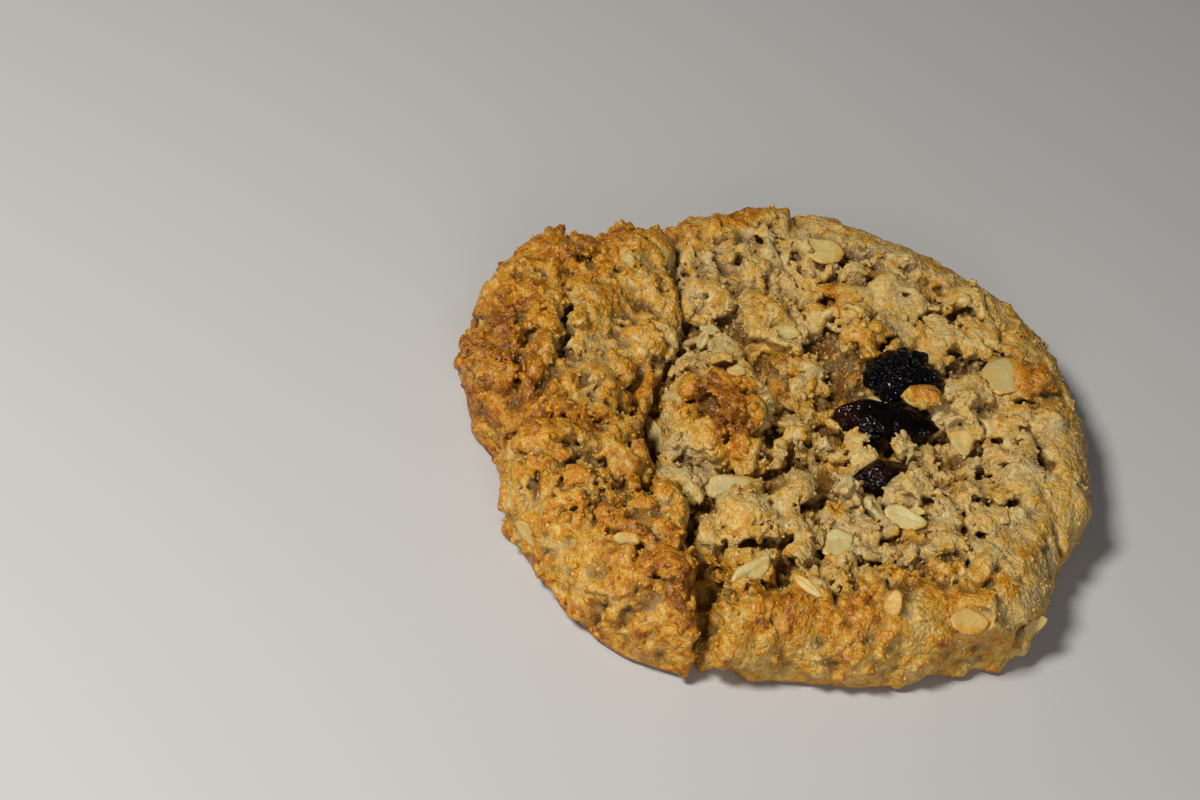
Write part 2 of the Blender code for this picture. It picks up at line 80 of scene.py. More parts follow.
# Cracks: path as seen from the front, half width and depth.
CRACKS = (
    (((-31.0, 12.5), (-31.0, 10.0), (-30.0, 7.0), (-29.3, 4.0), (-28.5, 0.0), (-27.5, -2.0), (-24.0, -4.0)), 0.95, 2.8),
    (((-38.0, 10.0), (-37.0, 8.5)), 0.5, 1.6),
    (((-36.0, 5.0), (-35.0, 3.5), (-34.0, 1.0), (-32.0, -1.0), (-31.0, -3.5)), 0.8, 2.2),
    (((-33.5, -5.5), (-32.0, -8.5), (-31.0, -11.0), (-30.5, -14.0), (-30.7, -17.0)), 0.6, 2.2),
    (((-26.0, -8.0), (-25.5, -11.0)), 0.3, 1.0),
    (((-25.5, -15.0), (-24.0, -18.0), (-22.0, -22.0)), 0.3, 1.1),
    (((-22.0, -29.0), (-19.0, -28.7), (-16.0, -29.0), (-14.5, -31.0), (-12.0, -33.0)), 0.3, 1.2),
    (((-8.0, -20.0), (-4.0, -25.0), (-2.0, -28.0)), 0.5, 1.8),
    (((-8.0, 33.0), (-7.0, 31.0), (-5.5, 29.0), (-3.0, 27.0), (-1.5, 26.5)), 0.7, 2.6),
    (((-7.0, 40.0), (-6.0, 36.0)), 0.5, 1.6),
    (((14.5, 34.0), (15.0, 31.0)), 0.5, 1.6),
    (((31.5, 9.0), (33.0, 6.0), (34.0, 3.0), (35.0, 1.5)), 0.5, 1.8),
    (((32.0, 1.0), (33.0, -2.0)), 0.4, 1.5),
    (((35.5, -5.0), (36.0, -8.0), (37.0, -13.0)), 0.5, 1.8),
    (((22.0, 24.0), (26.0, 20.5), (29.5, 15.5)), 0.35, 1.2),
    (((17.0, 27.0), (21.0, 25.0), (24.5, 22.5)), 0.35, 1.1),
    (((27.0, 29.0), (31.0, 23.0), (34.0, 17.0)), 0.3, 1.0),
    (((30.0, -16.0), (27.0, -21.0), (26.0, -24.0)), 0.5, 1.6),
    (((0.0, -38.7), (6.0, -38.9), (12.0, -38.7)), 0.35, 1.0),
    (((14.0, -35.5), (14.3, -38.5)), 0.3, 0.9),
    (((20.0, -30.0), (21.5, -34.0), (21.0, -38.0)), 0.35, 1.1),
    (((-15.5, -7.0), (-14.4, -11.0), (-14.0, -16.0), (-12.0, -21.0)), 0.9, 3.0),
    (((-1.3, -1.0), (-1.3, -5.0), (-2.4, -9.0)), 0.9, 2.6),
    (((-13.0, -14.5), (-9.0, -16.0), (-5.0, -13.5), (-2.5, -10.0)), 0.6, 2.0),
    (((-7.5, -23.0), (-6.4, -27.0), (-6.6, -31.0), (-3.5, -34.5)), 0.8, 3.0),
)

# The rim gapes here from top to bottom: x and y of both ends as seen from the front, and half width.
SPLIT = ((-2.6, -36.5), (-0.4, -46.0), 1.25)

# Bites out of the foot of the wall: x, y and z of the middle, looking straight down, and reach along each.
BITES = (
    (3.0, -40.0, 0.6, 3.4, 2.6, 3.4),
    (31.6, -26.6, 1.2, 2.0, 2.0, 2.4),
)

# Holes and hollows: x, y as seen from the front, radius, depth.
HOLES = (
    (-3.2, 6.2, 3.9, 3.6),
    (-6.2, 9.6, 1.8, 2.6),
    (-17.6, 18.6, 1.5, 2.4),
    (-14.8, 9.4, 1.6, 2.6),
    (-14.6, -9.5, 1.8, 3.0),
    (-14.1, -15.6, 1.8, 2.8),
    (-1.4, -4.9, 1.3, 2.4),
    (-0.5, -9.4, 1.0, 1.8),
    (19.5, 17.5, 1.8, 1.8),
    (7.3, 8.1, 1.4, 1.7),
    (21.5, 2.4, 1.3, 1.6),
    (25.6, -1.4, 0.9, 1.4),
    (-2.0, -35.0, 1.8, 4.0),
    (3.5, 12.0, 0.6, 1.6),
    (10.0, -28.0, 1.5, 2.2),
    (8.0, -19.0, 1.3, 2.0),
    (1.5, -15.0, 1.4, 2.2),
    (7.5, -4.5, 1.4, 2.2),
    (23.5, 34.3, 0.5, 1.2),
    (18.5, 29.5, 0.5, 1.2),
    (27.0, -21.0, 1.2, 2.0),
    (29.0, -6.0, 1.0, 1.8),
    (20.5, -1.5, 1.2, 1.6),
    (11.5, 2.0, 2.6, 1.4),
    (-21.5, 27.5, 1.6, 2.0),
    (-13.0, 6.5, 1.2, 2.0),
)

# Bare oat flakes: x, y as seen from the front, length, width, turn, tilt towards the front, roll, browning.
FLAKES = (
    (-1.5, 33.5, 5.4, 4.4, 20, 14, 0, 0.20),
    (-3.0, 14.5, 4.0, 2.8, 10, 8, -6, 0.10),
    (-12.3, 10.6, 2.8, 1.8, 10, 16, 0, 0.0),
    (-12.6, 8.0, 2.4, 1.6, 80, 60, 10, 0.0),
    (25.8, 19.3, 7.8, 7.0, 40, 12, -10, 0.08),
    (17.5, -13.0, 5.4, 3.2, -5, 14, 4, 0.0),
    (10.5, -21.0, 5.6, 3.4, 74, 8, -6, 0.0),
    (2.0, -30.0, 6.2, 2.8, 54, 16, 20, 0.05),
    (-3.6, -17.4, 6.6, 3.4, 14, 30, -4, 0.0),
    (8.5, -29.5, 4.2, 1.3, -22, 20, 30, 0.0),
    (-14.5, -12.4, 6.0, 2.4, -52, 12, 62, 0.0),
    (-7.2, 4.0, 2.6, 2.0, 20, 10, 0, 0.05),
    (-12.7, -31.0, 3.2, 1.6, 10, 40, 0, 0.2),
    (-24.0, -36.5, 4.6, 2.2, -40, 70, 20, 0.2),
    (22.0, 4.2, 4.4, 3.4, -60, 18, 10, 0.15),
    (27.5, -27.0, 4.4, 3.4, 30, 16, 10, 0.25),
    (35.5, -24.5, 3.4, 1.6, 50, 40, 20, 0.2),
)
# Lumps of dough that lie over flakes and raisins: x, y as seen from the front, half sizes along, across and
# up, turn, browning.
CLUMPS = (
    (28.4, 20.2, 3.1, 2.3, 1.7, 15, 0.16),
    (21.6, 12.8, 2.2, 3.0, 1.9, -30, -0.06),
    (15.2, -7.6, 2.6, 1.3, 1.3, 14, -0.14),
    (14.0, -5.0, 1.5, 1.0, 1.0, 60, -0.20),
    (17.6, -5.0, 1.6, 1.6, 1.3, 0, -0.02),
    (14.6, 10.2, 1.7, 1.6, 1.3, -10, 0.10),
    (16.6, 9.6, 1.6, 1.5, 1.3, 30, 0.30),
    (12.4, 18.6, 0.8, 1.7, 1.0, 0, 0.10),
    (7.8, 16.6, 1.6, 2.4, 1.5, 25, 0.04),
)
EXTRA_FLAKES = 6
EXTRA_FLAKE_LENGTHS = (2.0, 4.2)
FLAKE_HALF_THICKNESS = 0.2

# Baked patches: x, y as seen from the front, radius, and how much browner (or paler, if negative) it is.
PATCHES = (
    (-8.5, -1.0, 6.5, 0.50),
    (-5.0, -8.5, 3.6, 0.34),
    (-9.0, -17.0, 4.0, -0.20),
    (2.0, 23.0, 4.5, 0.38),
    (8.0, 19.0, 3.6, 0.30),
    (-19.0, 31.0, 5.0, 0.30),
    (-36.0, 0.0, 7.0, 0.10),
    (-30.0, 16.0, 6.0, 0.10),
    (-22.0, -13.0, 3.0, 0.12),
    (-25.0, -25.0, 3.0, 0.10),
    (-11.0, -27.0, 5.0, 0.16),
    (-14.0, -40.0, 9.0, -0.16),
    (-28.0, -33.0, 8.0, -0.12),
    (-22.0, -24.0, 9.0, -0.20),
    (28.5, 21.0, 2.6, 0.14),
    (6.0, 31.5, 2.4, 0.34),
    (13.0, 32.0, 2.4, 0.26),
    (-14.0, 36.5, 4.0, 0.34),
    (15.5, 11.0, 2.4, 0.45),
    (9.5, -15.0, 1.8, 0.34),
    (18.5, -15.5, 2.2, 0.36),
    (19.0, -22.0, 4.0, 0.30),
    (24.0, -12.0, 2.6, 0.12),
    (15.0, -27.0, 3.0, 0.26),
    (0.5, -23.0, 2.6, 0.10),
    (-3.0, -11.0, 1.6, 0.32),
    (6.0, -33.0, 6.0, 0.22),
    (15.0, -34.0, 5.0, 0.20),
    (25.0, -30.0, 4.0, 0.10),
    (32.0, -20.0, 3.0, -0.06),
    (26.0, -20.0, 6.0, 0.18),
    (33.0, 0.0, 6.0, -0.04),
    (16.0, 24.0, 4.0, 0.10),
    (30.0, 18.0, 5.0, 0.12),
    (24.0, 30.0, 5.0, 0.08),
)

# Grains that make up the crumb, from the largest to the smallest: half length, half thickness as a share of
# it, count, tilt away from lying flat in degrees, how far it rises, and how likely it is to be a flake.
GRAINS = (
    ((1.0, 1.8), (0.45, 0.80), 420, 60, (-0.8, 0.2), 0.0),
    ((0.55, 1.0), (0.40, 0.85), 1400, 70, (-0.4, 0.4), 0.0),
    ((1.2, 2.4), (0.16, 0.28), 320, 30, (-0.1, 0.6), 1.0),
)
SMALL_GRAINS = (
    ((0.55, 1.0), (0.35, 0.70), 1100, 50, (-0.2, 0.4), 0.4),
    ((0.30, 0.55), (0.60, 1.00), 9000, 90, (0.05, 0.5), 0.12),
)
# Torn crumb: pitch of the lumps, how unevenly they stand, depth and half width of the creases between them,
# how domed each lump is, and how much of all this the crust keeps.
TEARS = (
    (6.5, 0.50, 1.00, 0.70, 0.04, 0.20),
    (3.6, 0.62, 1.90, 0.44, 0.10, 0.34),
    (1.8, 0.34, 0.70, 0.30, 0.20, 0.80),
    (0.95, 0.20, 0.24, 0.20, 0.40, 1.00),
)
LARGE_GRAINS_SUNK = 0.33
ERODED = 0.95
BROKEN_FACES = 3
CRUST_ERODED = 0.30
MOST_PROUD = 0.8
LIP_HEIGHT = 0.4


def smooth_step(low, high, value):
    share = np.clip((value - low) / (high - low), 0, 1)
    return share * share * (3 - 2 * share)


def smooth_min(first, second, blend):
    """The lesser of two distances, rounded off where they meet."""
    near = np.maximum(blend - np.abs(first - second), 0) / blend
    return np.minimum(first, second) - near * near * blend / 4


def smooth_max(first, second, blend):
    return -smooth_min(-first, -second, blend)


class Space:
    """An evenly spaced grid of points. A field on it holds one number for each point."""

    def __init__(self, low, high, voxel):
        self.low = np.array(low, np.float32)
        self.voxel = voxel
        self.shape = tuple(math.ceil((b - a) / voxel) + 1 for a, b in zip(low, high))
        ticks = [self.low[k] + voxel * np.arange(self.shape[k], dtype=np.float32) for k in range(3)]
        self.x, self.y, self.z = ticks[0][:, None, None], ticks[1][None, :, None], ticks[2][None, None, :]

    def transform(self):
        return openvdb.createLinearTransform(voxelSize=self.voxel)

    def mesh_distance(self, points, triangles, band):
        """Signed distance to a closed mesh, up to band on either side of it."""
        grid = openvdb.FloatGrid.createLevelSetFromPolygons(
            np.ascontiguousarray(points - self.low, np.float32),
            triangles=np.ascontiguousarray(triangles, np.uint32),
            transform=self.transform(),
            halfWidth=band / self.voxel,
        )
        field = np.empty(self.shape, np.float32)
        grid.copyToArray(field)
        return field

    def surface(self, field):
        """Points and triangles of the zero surface, facing out."""
        reach = 3 * self.voxel
        grid = openvdb.FloatGrid(reach)
        grid.copyFromArray(np.clip(field, -reach, reach))
        grid.transform = self.transform()
        points, triangles, quads = grid.convertToPolygons(isovalue=0.0, adaptivity=0.0)
        triangles = np.concatenate([triangles, quads[:, [0, 1, 2]], quads[:, [0, 2, 3]]]).astype(np.int64)
        points = points + self.low
        corners = points[triangles].astype(np.float64)
        if np.linalg.det(corners).sum() < 0:
            triangles = triangles[:, ::-1]
        return points, triangles

    def sample(self, field, points):
        """The field's value at any points, blended from the eight grid points around each."""
        place = (np.asarray(points, np.float32) - self.low) / self.voxel
        place = np.clip(place, 0, np.array(self.shape) - 1.001)
        base = place.astype(np.int64)
        share = place - base
        total = np.zeros(len(place), np.float32)
        for corner in np.ndindex(2, 2, 2):
            weight = np.prod([share[:, k] if corner[k] else 1 - share[:, k] for k in range(3)], axis=0)
            total += weight * field[tuple(base[:, k] + corner[k] for k in range(3))]
        return total

    def slopes(self, field, points):
        """Unit direction in which the field grows fastest at each point."""
        step = self.voxel
        found = np.stack([
            self.sample(field, points + step * axis) - self.sample(field, points - step * axis)
            for axis in np.eye(3, dtype=np.float32)
        ], axis=1)
        return found / np.maximum(np.linalg.norm(found, axis=1, keepdims=True), 1e-6)

    def window(self, centre, reach):
        """The part of the grid within reach of a point: its slices, and offsets from the point along each axis."""
        start = np.maximum(((np.asarray(centre) - reach - self.low) / self.voxel).astype(int), 0)
        stop = np.minimum(((np.asarray(centre) + reach - self.low) / self.voxel).astype(int) + 2, self.shape)
        cut = tuple(slice(a, max(a, b)) for a, b in zip(start, stop))
        offsets = (
            self.x[cut[0]] - centre[0],
            self.y[:, cut[1]] - centre[1],
            self.z[:, :, cut[2]] - centre[2],
        )
        return cut, offsets

    def noise(self, draw, pitch):
        """Smooth noise with features about pitch wide: random numbers on a coarse lattice, splined in between.
        It has a mean of 0 and a spread of 1."""
        weights = []
        for axis in range(3):
            span = (self.shape[axis] - 1) * self.voxel / pitch
            place = np.arange(self.shape[axis]) * self.voxel / pitch + 1.5
            knots = np.arange(math.ceil(span) + 4)
            gap = np.abs(place[:, None] - knots[None, :])
            near = 2 / 3 - gap**2 + gap**3 / 2
            far = np.maximum(2 - gap, 0) ** 3 / 6
            weights.append(np.where(gap < 1, near, far).astype(np.float32))
        lattice = draw.standard_normal([len(w[0]) for w in weights]).astype(np.float32)
        for axis in range(3):
            lattice = np.moveaxis(np.tensordot(weights[axis], lattice, axes=(1, axis)), 0, axis)
        return (lattice / lattice.std()).astype(np.float32)

    def blur(self, field, width):
        """The field averaged over a soft ball about width in radius."""
        steps = max(1, round(width / self.voxel))
        for _ in range(2):
            for axis in range(3):
                pad = [(steps + 1, steps) if k == axis else (0, 0) for k in range(3)]
                total = np.cumsum(np.pad(field, pad, mode="edge"), axis=axis, dtype=np.float64)
                ahead = np.take(total, np.arange(2 * steps + 1, total.shape[axis]), axis=axis)
                behind = np.take(total, np.arange(0, total.shape[axis] - 2 * steps - 1), axis=axis)
                field = ((ahead - behind) / (2 * steps + 1)).astype(np.float32)
        return field


def mesh_arrays(thing):
    """Points in mm and triangles of a CAD node."""
    mesh = thing.data
    mesh.calc_loop_triangles()
    points = np.empty(len(mesh.vertices) * 3, np.float32)
    mesh.vertices.foreach_get("co", points)
    triangles = np.empty(len(mesh.loop_triangles) * 3, np.int32)
    mesh.loop_triangles.foreach_get("vertices", triangles)
    return points.reshape(-1, 3) / MM, triangles.reshape(-1, 3)


def largest_piece(points, triangles):
    """The mesh without any specks that don't touch its main body."""
    label = np.arange(len(points))
    while True:
        lowest = label[triangles].min(axis=1)
        after = label.copy()
        for corner in range(3):
            np.minimum.at(after, triangles[:, corner], lowest)
        after = after[after]
        if (after == label).all():
            break
        label = after
    main = np.bincount(label[triangles[:, 0]]).argmax()
    triangles = triangles[label[triangles[:, 0]] == main]
    used = np.zeros(len(points), bool)
    used[triangles] = True
    return points[used], (np.cumsum(used) - 1)[triangles]


def make_object(name, points, triangles, smooth=True):
    mesh = bpy.data.meshes.new(name)
    mesh.vertices.add(len(points))
    mesh.vertices.foreach_set("co", (np.asarray(points, np.float32) * MM).ravel())
    mesh.loops.add(len(triangles) * 3)
    mesh.loops.foreach_set("vertex_index", np.ascontiguousarray(triangles, np.int32).ravel())
    mesh.polygons.add(len(triangles))
    mesh.polygons.foreach_set("loop_start", np.arange(0, len(triangles) * 3, 3, dtype=np.int32))
    mesh.update(calc_edges=True)
    mesh.validate()
    if smooth:
        mesh.shade_smooth()
    made = bpy.data.objects.new(name, mesh)
    bpy.context.scene.collection.objects.link(made)
    return made


def decimate(thing, most_triangles):
    """Drops the triangles that add least to the shape until at most so many are left."""
    share = most_triangles / len(thing.data.polygons)
    if share >= 1:
        return
    made = thing.modifiers.new("fewer triangles", "DECIMATE")
    made.ratio = share
    graph = bpy.context.evaluated_depsgraph_get()
    fewer = bpy.data.meshes.new_from_object(thing.evaluated_get(graph))
    thing.modifiers.remove(made)
    thing.data = fewer
    thing.data.shade_smooth()


def vertex_points(thing):
    points = np.empty(len(thing.data.vertices) * 3, np.float32)
    thing.data.vertices.foreach_get("co", points)
    return points.reshape(-1, 3) / MM


def set_attribute(thing, name, values):
    attribute = thing.data.attributes.new(name, "FLOAT", "POINT")
    attribute.data.foreach_set("value", np.ascontiguousarray(values, np.float32))


def turn_matrix(turn, tilt, roll):
    """Turns about the upright axis after tilting the front edge down and rolling about the long axis."""
    return np.array(
        Matrix.Rotation(math.radians(tilt), 3, "X")
        @ Matrix.Rotation(math.radians(turn), 3, "Z")
        @ Matrix.Rotation(math.radians(roll), 3, "X")
    )


# ---- The ground shape, from the CAD solids ----

low, high = (np.array(corner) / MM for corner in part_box("dough"))
top_of_box = max(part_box(node)[1].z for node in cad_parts) / MM
space = Space(low - 1.3, (high[0] + 1.3, high[1] + 1.3, top_of_box + 1.3), DOUGH_VOXEL)
draw = np.random.default_rng(SEED)

cad = space.mesh_distance(*mesh_arrays(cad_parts["dough"]), band=5.0)
raisin_names = sorted(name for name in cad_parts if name.startswith("raisin"))
raisins = np.minimum.reduce([space.mesh_distance(*mesh_arrays(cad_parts[name]), band=5.0) for name in raisin_names])

# The pockets' gap closes, so that the dough hugs the raisins.
ground = space.blur(smooth_min(cad, raisins + 0.1, 1.1), 0.3)

flat_x, flat_y = space.x[:, :, 0], space.y[:, :, 0]


def height_map(field):
    """Height of the topmost surface at each x and y, or 0 where there is none."""
    inside = field < 0
    top = space.shape[2] - 1 - np.argmax(inside[:, :, ::-1], axis=2)
    return np.where(inside.any(axis=2), space.z[0, 0, top], 0)


def flat_sample(plane, x, y):
    """The value of a flat map at x and y."""
    i = np.clip(((x - space.low[0]) / space.voxel).astype(int), 0, space.shape[0] - 1)
    j = np.clip(((y - space.low[1]) / space.voxel).astype(int), 0, space.shape[1] - 1)
    return plane[i, j]




def fill_trough():
    """Dough joins the slab to the middle along the back half of the break, where it only sagged."""
    line = np.array(BREAK_LINE)[::-1] + TABLE_ORIGIN
    off = np.abs(flat_x - np.interp(flat_y, line[:, 1], line[:, 0]))
    share = np.exp(-((off / TROUGH_HALF_WIDTH) ** 2)) * smooth_step(*TROUGH_FILL_FROM, flat_y)
    return ground - TROUGH_FILL * share[:, :, None]


ground = fill_trough()
ground_height = height_map(ground)


def seen(x, y):
    """The point of the surface that shows at x, y of the tables, looking from the front."""
    x, y = x + TABLE_ORIGIN[0], y + TABLE_ORIGIN[1]
    heights = np.arange(top_of_box, 0.5, -0.1)
    along = y - (heights - READING_HEIGHT) * SIGHT_SLOPE
    hits = flat_sample(ground_height, np.full_like(heights, x), along) >= heights
    first = int(np.argmax(hits)) if hits.any() else len(heights) // 2
    return np.array([x, along[first], heights[first]])


def outline():
    """Radius of the cookie's outline for each whole degree, from -180."""
    inside = (ground < 0).any(axis=2)
    x, y = np.broadcast_arrays(flat_x, flat_y)
    angle = (np.degrees(np.arctan2(y[inside], x[inside])) + 180).astype(int) % 360
    radius = np.zeros(360)
    np.maximum.at(radius, angle, np.hypot(x[inside], y[inside]))
    return radius


OUTLINE = outline()


def edge_distance(x, y):
    """How far in from the outline a point lies, looking down."""
    angle = (np.degrees(np.arctan2(y, x)) + 180) % 360
    lower = angle.astype(int) % 360
    share = angle - np.floor(angle)
    radius = OUTLINE[lower] * (1 - share) + OUTLINE[(lower + 1) % 360] * share
    return radius - np.hypot(x, y)


def slab_share(x, y):
    """1 on the browned slab, 0 on the rest, and in between across the break."""
    ys = np.array([point[1] for point in reversed(BREAK_LINE)]) + TABLE_ORIGIN[1]
    xs = np.array([point[0] for point in reversed(BREAK_LINE)]) + TABLE_ORIGIN[0]
    return smooth_step(-0.5, 1.5, np.interp(y, ys, xs) - x)


edge = edge_distance(*np.broadcast_arrays(flat_x, flat_y))
slab = slab_share(*np.broadcast_arrays(flat_x, flat_y))
crumbly = (smooth_step(4.0, 9.0, edge) * (1 - 0.75 * slab)).astype(np.float32)
bearing = np.degrees(np.arctan2(*np.broadcast_arrays(flat_y, flat_x)))
calm = np.maximum(smooth_step(-45, -15, bearing), 0.6 * smooth_step(-100, -80, bearing))
calm = (calm * smooth_step(10.0, 6.0, edge) * smooth_step(140, 115, bearing)).astype(np.float32)

# ---- Relief of the dough ----

fine_noise = space.noise(draw, 0.62)
small_noise = space.noise(draw, 1.1)
middle_noise = space.noise(draw, 2.3)
broad_noise = space.noise(draw, 6.0)

from_base = smooth_step(0.3, 2.5, space.z)
from_side = smooth_step(4.0, 8.5, space.z)
crumbly_here = crumbly[:, :, None] * from_side
loose = (crumbly[:, :, None] * from_side).astype(np.float32)
eroded = (CRUST_ERODED + (ERODED - CRUST_ERODED) * loose) * (1 - calm[:, :, None])
dough = ground + from_base * eroded
tint = np.zeros(space.shape, np.float32)
oat = np.zeros(space.shape, np.float32)


def tear_up(pitch, unevenness, crease_depth, crease_half_width, domed, crust_share):
    """Splits the surface into lumps about pitch across that stand unevenly, with creases between some of them."""
    skin = np.nonzero((ground > -3.0) & (ground < 1.6) & (space.z > 0.8))
    weight = (from_base * (crust_share + (1 - crust_share) * loose) * (1 - 0.7 * calm[:, :, None]))[skin]
    sway = 0.26 * pitch
    warps = (middle_noise, np.roll(middle_noise, 9, axis=1), np.roll(middle_noise, 9, axis=0))
    place = np.stack([
        (ticks.ravel()[index] + sway * warp[skin]) / pitch
        for ticks, index, warp in zip((space.x, space.y, space.z), skin, warps)
    ])
    place -= place.min(axis=1, keepdims=True) - 1.5
    base = place.astype(np.int32)
    lattice = tuple(base.max(axis=1) + 3)
    seeds = draw.uniform(0, 1, (3, math.prod(lattice))).astype(np.float32)
    heights, tints = draw.uniform(-1, 1, (2, math.prod(lattice))).astype(np.float32)
    nearest = np.full(place.shape[1], 9.0, np.float32)
    second, owner = nearest.copy(), np.zeros(place.shape[1], np.int32)
    for offset in np.ndindex(3, 3, 3):
        cell = base + np.array(offset)[:, None] - 1
        index = (cell[0] * lattice[1] + cell[1]) * lattice[2] + cell[2]
        gap = sum((place[k] - cell[k] - seeds[k][index]) ** 2 for k in range(3))
        closer = gap < nearest
        second = np.where(closer, nearest, np.minimum(second, gap))
        nearest = np.where(closer, gap, nearest)
        owner = np.where(closer, index, owner)
    border = (np.sqrt(second) - np.sqrt(nearest)) * pitch / 2
    opened = smooth_step(-0.6, 0.5, np.roll(broad_noise, 11, axis=0)[skin] + 0.6 * small_noise[skin])
    crease = crease_depth * np.exp(-((border / crease_half_width) ** 2)) * opened
    dome = domed * pitch * (0.35 - nearest)
    dough[skin] += weight * (crease - unevenness * heights[owner] - dome)
    tint[skin] += 0.05 * pitch ** 0.5 * tints[owner]


for tear in TEARS:
    tear_up(*tear)


def surface_spots(field):
    """Points all over the top and sides, the way out at each, and how crumbly the dough is there."""
    points, _ = space.surface(field)
    points = points[points[:, 2] > 2.0]
    points = points[space.sample(raisins, points) > 0.25]
    looseness = np.maximum(flat_sample(crumbly, points[:, 0], points[:, 1]), 0) * smooth_step(3, 8, points[:, 2])
    return points, space.slopes(field, points), looseness


def add_grain(centre, axes, radii, colour_shift, flakiness):
    """One uneven grain: an ellipsoid if thick, and a torn disc if it is a flake."""
    cut, (dx, dy, dz) = space.window(centre, radii.max() + 0.5)
    u, v, w = (dx * axes[0, k] + dy * axes[1, k] + dz * axes[2, k] for k in range(3))
    if flakiness > 0:
        across = (np.sqrt((u / radii[0]) ** 2 + (v / radii[1]) ** 2) - 1) * radii[1]
        across += 0.34 * middle_noise[cut] + 0.14 * small_noise[cut]
        blob = smooth_max(across, np.abs(w + 0.10 * middle_noise[cut]) - radii[2], 0.3)
    else:
        reach = np.sqrt((u / radii[0]) ** 2 + (v / radii[1]) ** 2 + (w / radii[2]) ** 2)
        blob = (reach - 1) * radii[2]
        for facing in draw.standard_normal((BROKEN_FACES, 3)) if radii[0] > 0.5 else ():
            facing /= np.linalg.norm(facing)
            reach_out = np.linalg.norm(facing * radii)
            broken = u * facing[0] + v * facing[1] + w * facing[2] - draw.uniform(0.35, 0.75) * reach_out
            blob = np.maximum(blob, broken)
        blob = blob + min(0.2 * radii[0], 0.22) * (small_noise[cut] + 0.6 * middle_noise[cut])
    here = dough[cut]
    won = blob < here + 0.05
    tint[cut] = np.where(won, colour_shift, tint[cut])
    oat[cut] = np.where(won, flakiness, oat[cut])
    dough[cut] = smooth_min(here, blob, 0.16)


def add_grains(kinds, sunk):
    """Grains half sunk in the surface. They stand proud in the crumbly middle and hardly show in the crust."""
    for lengths, thicknesses, count, tilt, rise, flake_share in kinds:
        quiet = flat_sample(calm, spots[:, 0], spots[:, 1])
        share = 0.55 + 0.45 * spot_looseness - 0.45 * quiet
        picked = draw.choice(len(spots), count, replace=False, p=share / share.sum())
        for pick in picked:
            loosened = spot_looseness[pick]
            half = draw.uniform(*lengths)
            flakiness = draw.uniform(0.35, 1.0) if draw.uniform() < flake_share else 0.0
            thick = draw.uniform(*thicknesses)
            if flakiness and half < 1.2:
                thick = min(thick, 0.45)
            radii = half * np.array([1.0, draw.uniform(0.6, 0.95), thick])
            lift = draw.uniform(*rise) * (0.5 + 0.5 * loosened) - 0.3 * quiet[pick] - sunk * (1.4 - 0.4 * loosened)
            centre = spots[pick] + spot_normals[pick] * (lift * min(1.0, 0.3 + half))
            upright = Vector(spot_normals[pick]).to_track_quat("Z", "Y").to_matrix()
            lean = math.radians(draw.normal(0, tilt)) * (0.35 + 0.65 * loosened)
            turn = Matrix.Rotation(draw.uniform(0, math.tau), 3, "Z") @ Matrix.Rotation(lean, 3, "X")
            add_grain(centre, np.array(upright @ turn), radii, draw.normal(0, 0.10), flakiness)


spots, spot_normals, spot_looseness = surface_spots(ground)
add_grains(GRAINS, LARGE_GRAINS_SUNK)


def path_distance(path, sway):
    """Flat map of the distance to a path, and of the share of the way along it, near the path only."""
    corners = np.array([seen(x, y)[:2] for x, y in path])
    x, y = np.broadcast_arrays(flat_x, flat_y)
    start = np.maximum(((corners.min(axis=0) - 4 - space.low[:2]) / space.voxel).astype(int), 0)
    stop = ((corners.max(axis=0) + 4 - space.low[:2]) / space.voxel).astype(int) + 1
    cut = tuple(slice(a, b) for a, b in zip(start, stop))
    level = int(space.shape[2] * 0.7)
    x = x[cut] + sway * middle_noise[cut][:, :, level] + 0.5 * sway * small_noise[cut][:, :, level]
    y = y[cut] + sway * middle_noise[cut][:, :, level // 2] + 0.5 * sway * small_noise[cut][:, :, level // 2]
    nearest, along, gone = np.full(x.shape, 99.0), np.zeros(x.shape), 0.0
    lengths = np.linalg.norm(np.diff(corners, axis=0), axis=1)
    for (ax, ay), (bx, by), length in zip(corners, corners[1:], lengths):
        share = np.clip(((x - ax) * (bx - ax) + (y - ay) * (by - ay)) / max(length, 1e-6) ** 2, 0, 1)
        gap = np.hypot(x - ax - share * (bx - ax), y - ay - share * (by - ay))
        closer = gap < nearest
        nearest = np.where(closer, gap, nearest)
        along = np.where(closer, gone + share * length, along)
        gone += length
    return cut, nearest, along / lengths.sum()


def carve_crack(path, half_width, depth, sway=0.32):
    """A ragged V-shaped crack that is widest in its middle and runs out at both ends."""
    cut, gap, along = path_distance(path, sway)
    taper = (np.minimum(1, 3.2 * np.minimum(along, 1 - along) + 0.25))[:, :, None]
    width = half_width * taper * (1 + 0.3 * middle_noise[cut])
    gap = gap[:, :, None]
    lips = np.exp(-(((gap - 1.6 * half_width - 0.5) / 0.8) ** 2)) * taper
    dough[cut] -= from_side[:, :, :] * LIP_HEIGHT * half_width * lips
    sunk = np.clip(-ground[cut] / (depth * taper), 0, 1)
    wall = gap - width * (1 - 0.8 * sunk) + 0.10 * small_noise[cut]
    floor = ground[cut] + depth * taper
    dough[cut] = smooth_max(dough[cut], np.minimum(-wall, floor), 0.22)


def carve_hole(x, y, radius, depth):
    centre = seen(x, y)
    cut, (dx, dy, dz) = space.window(centre, max(radius, depth) + 1)
    reach = np.sqrt((dx / radius) ** 2 + (dy / radius) ** 2 + (dz / depth) ** 2)
    ball = (reach - 1) * min(radius, depth) + 0.12 * small_noise[cut] + 0.12 * middle_noise[cut]
    dough[cut] = smooth_max(dough[cut], -ball, 0.25)


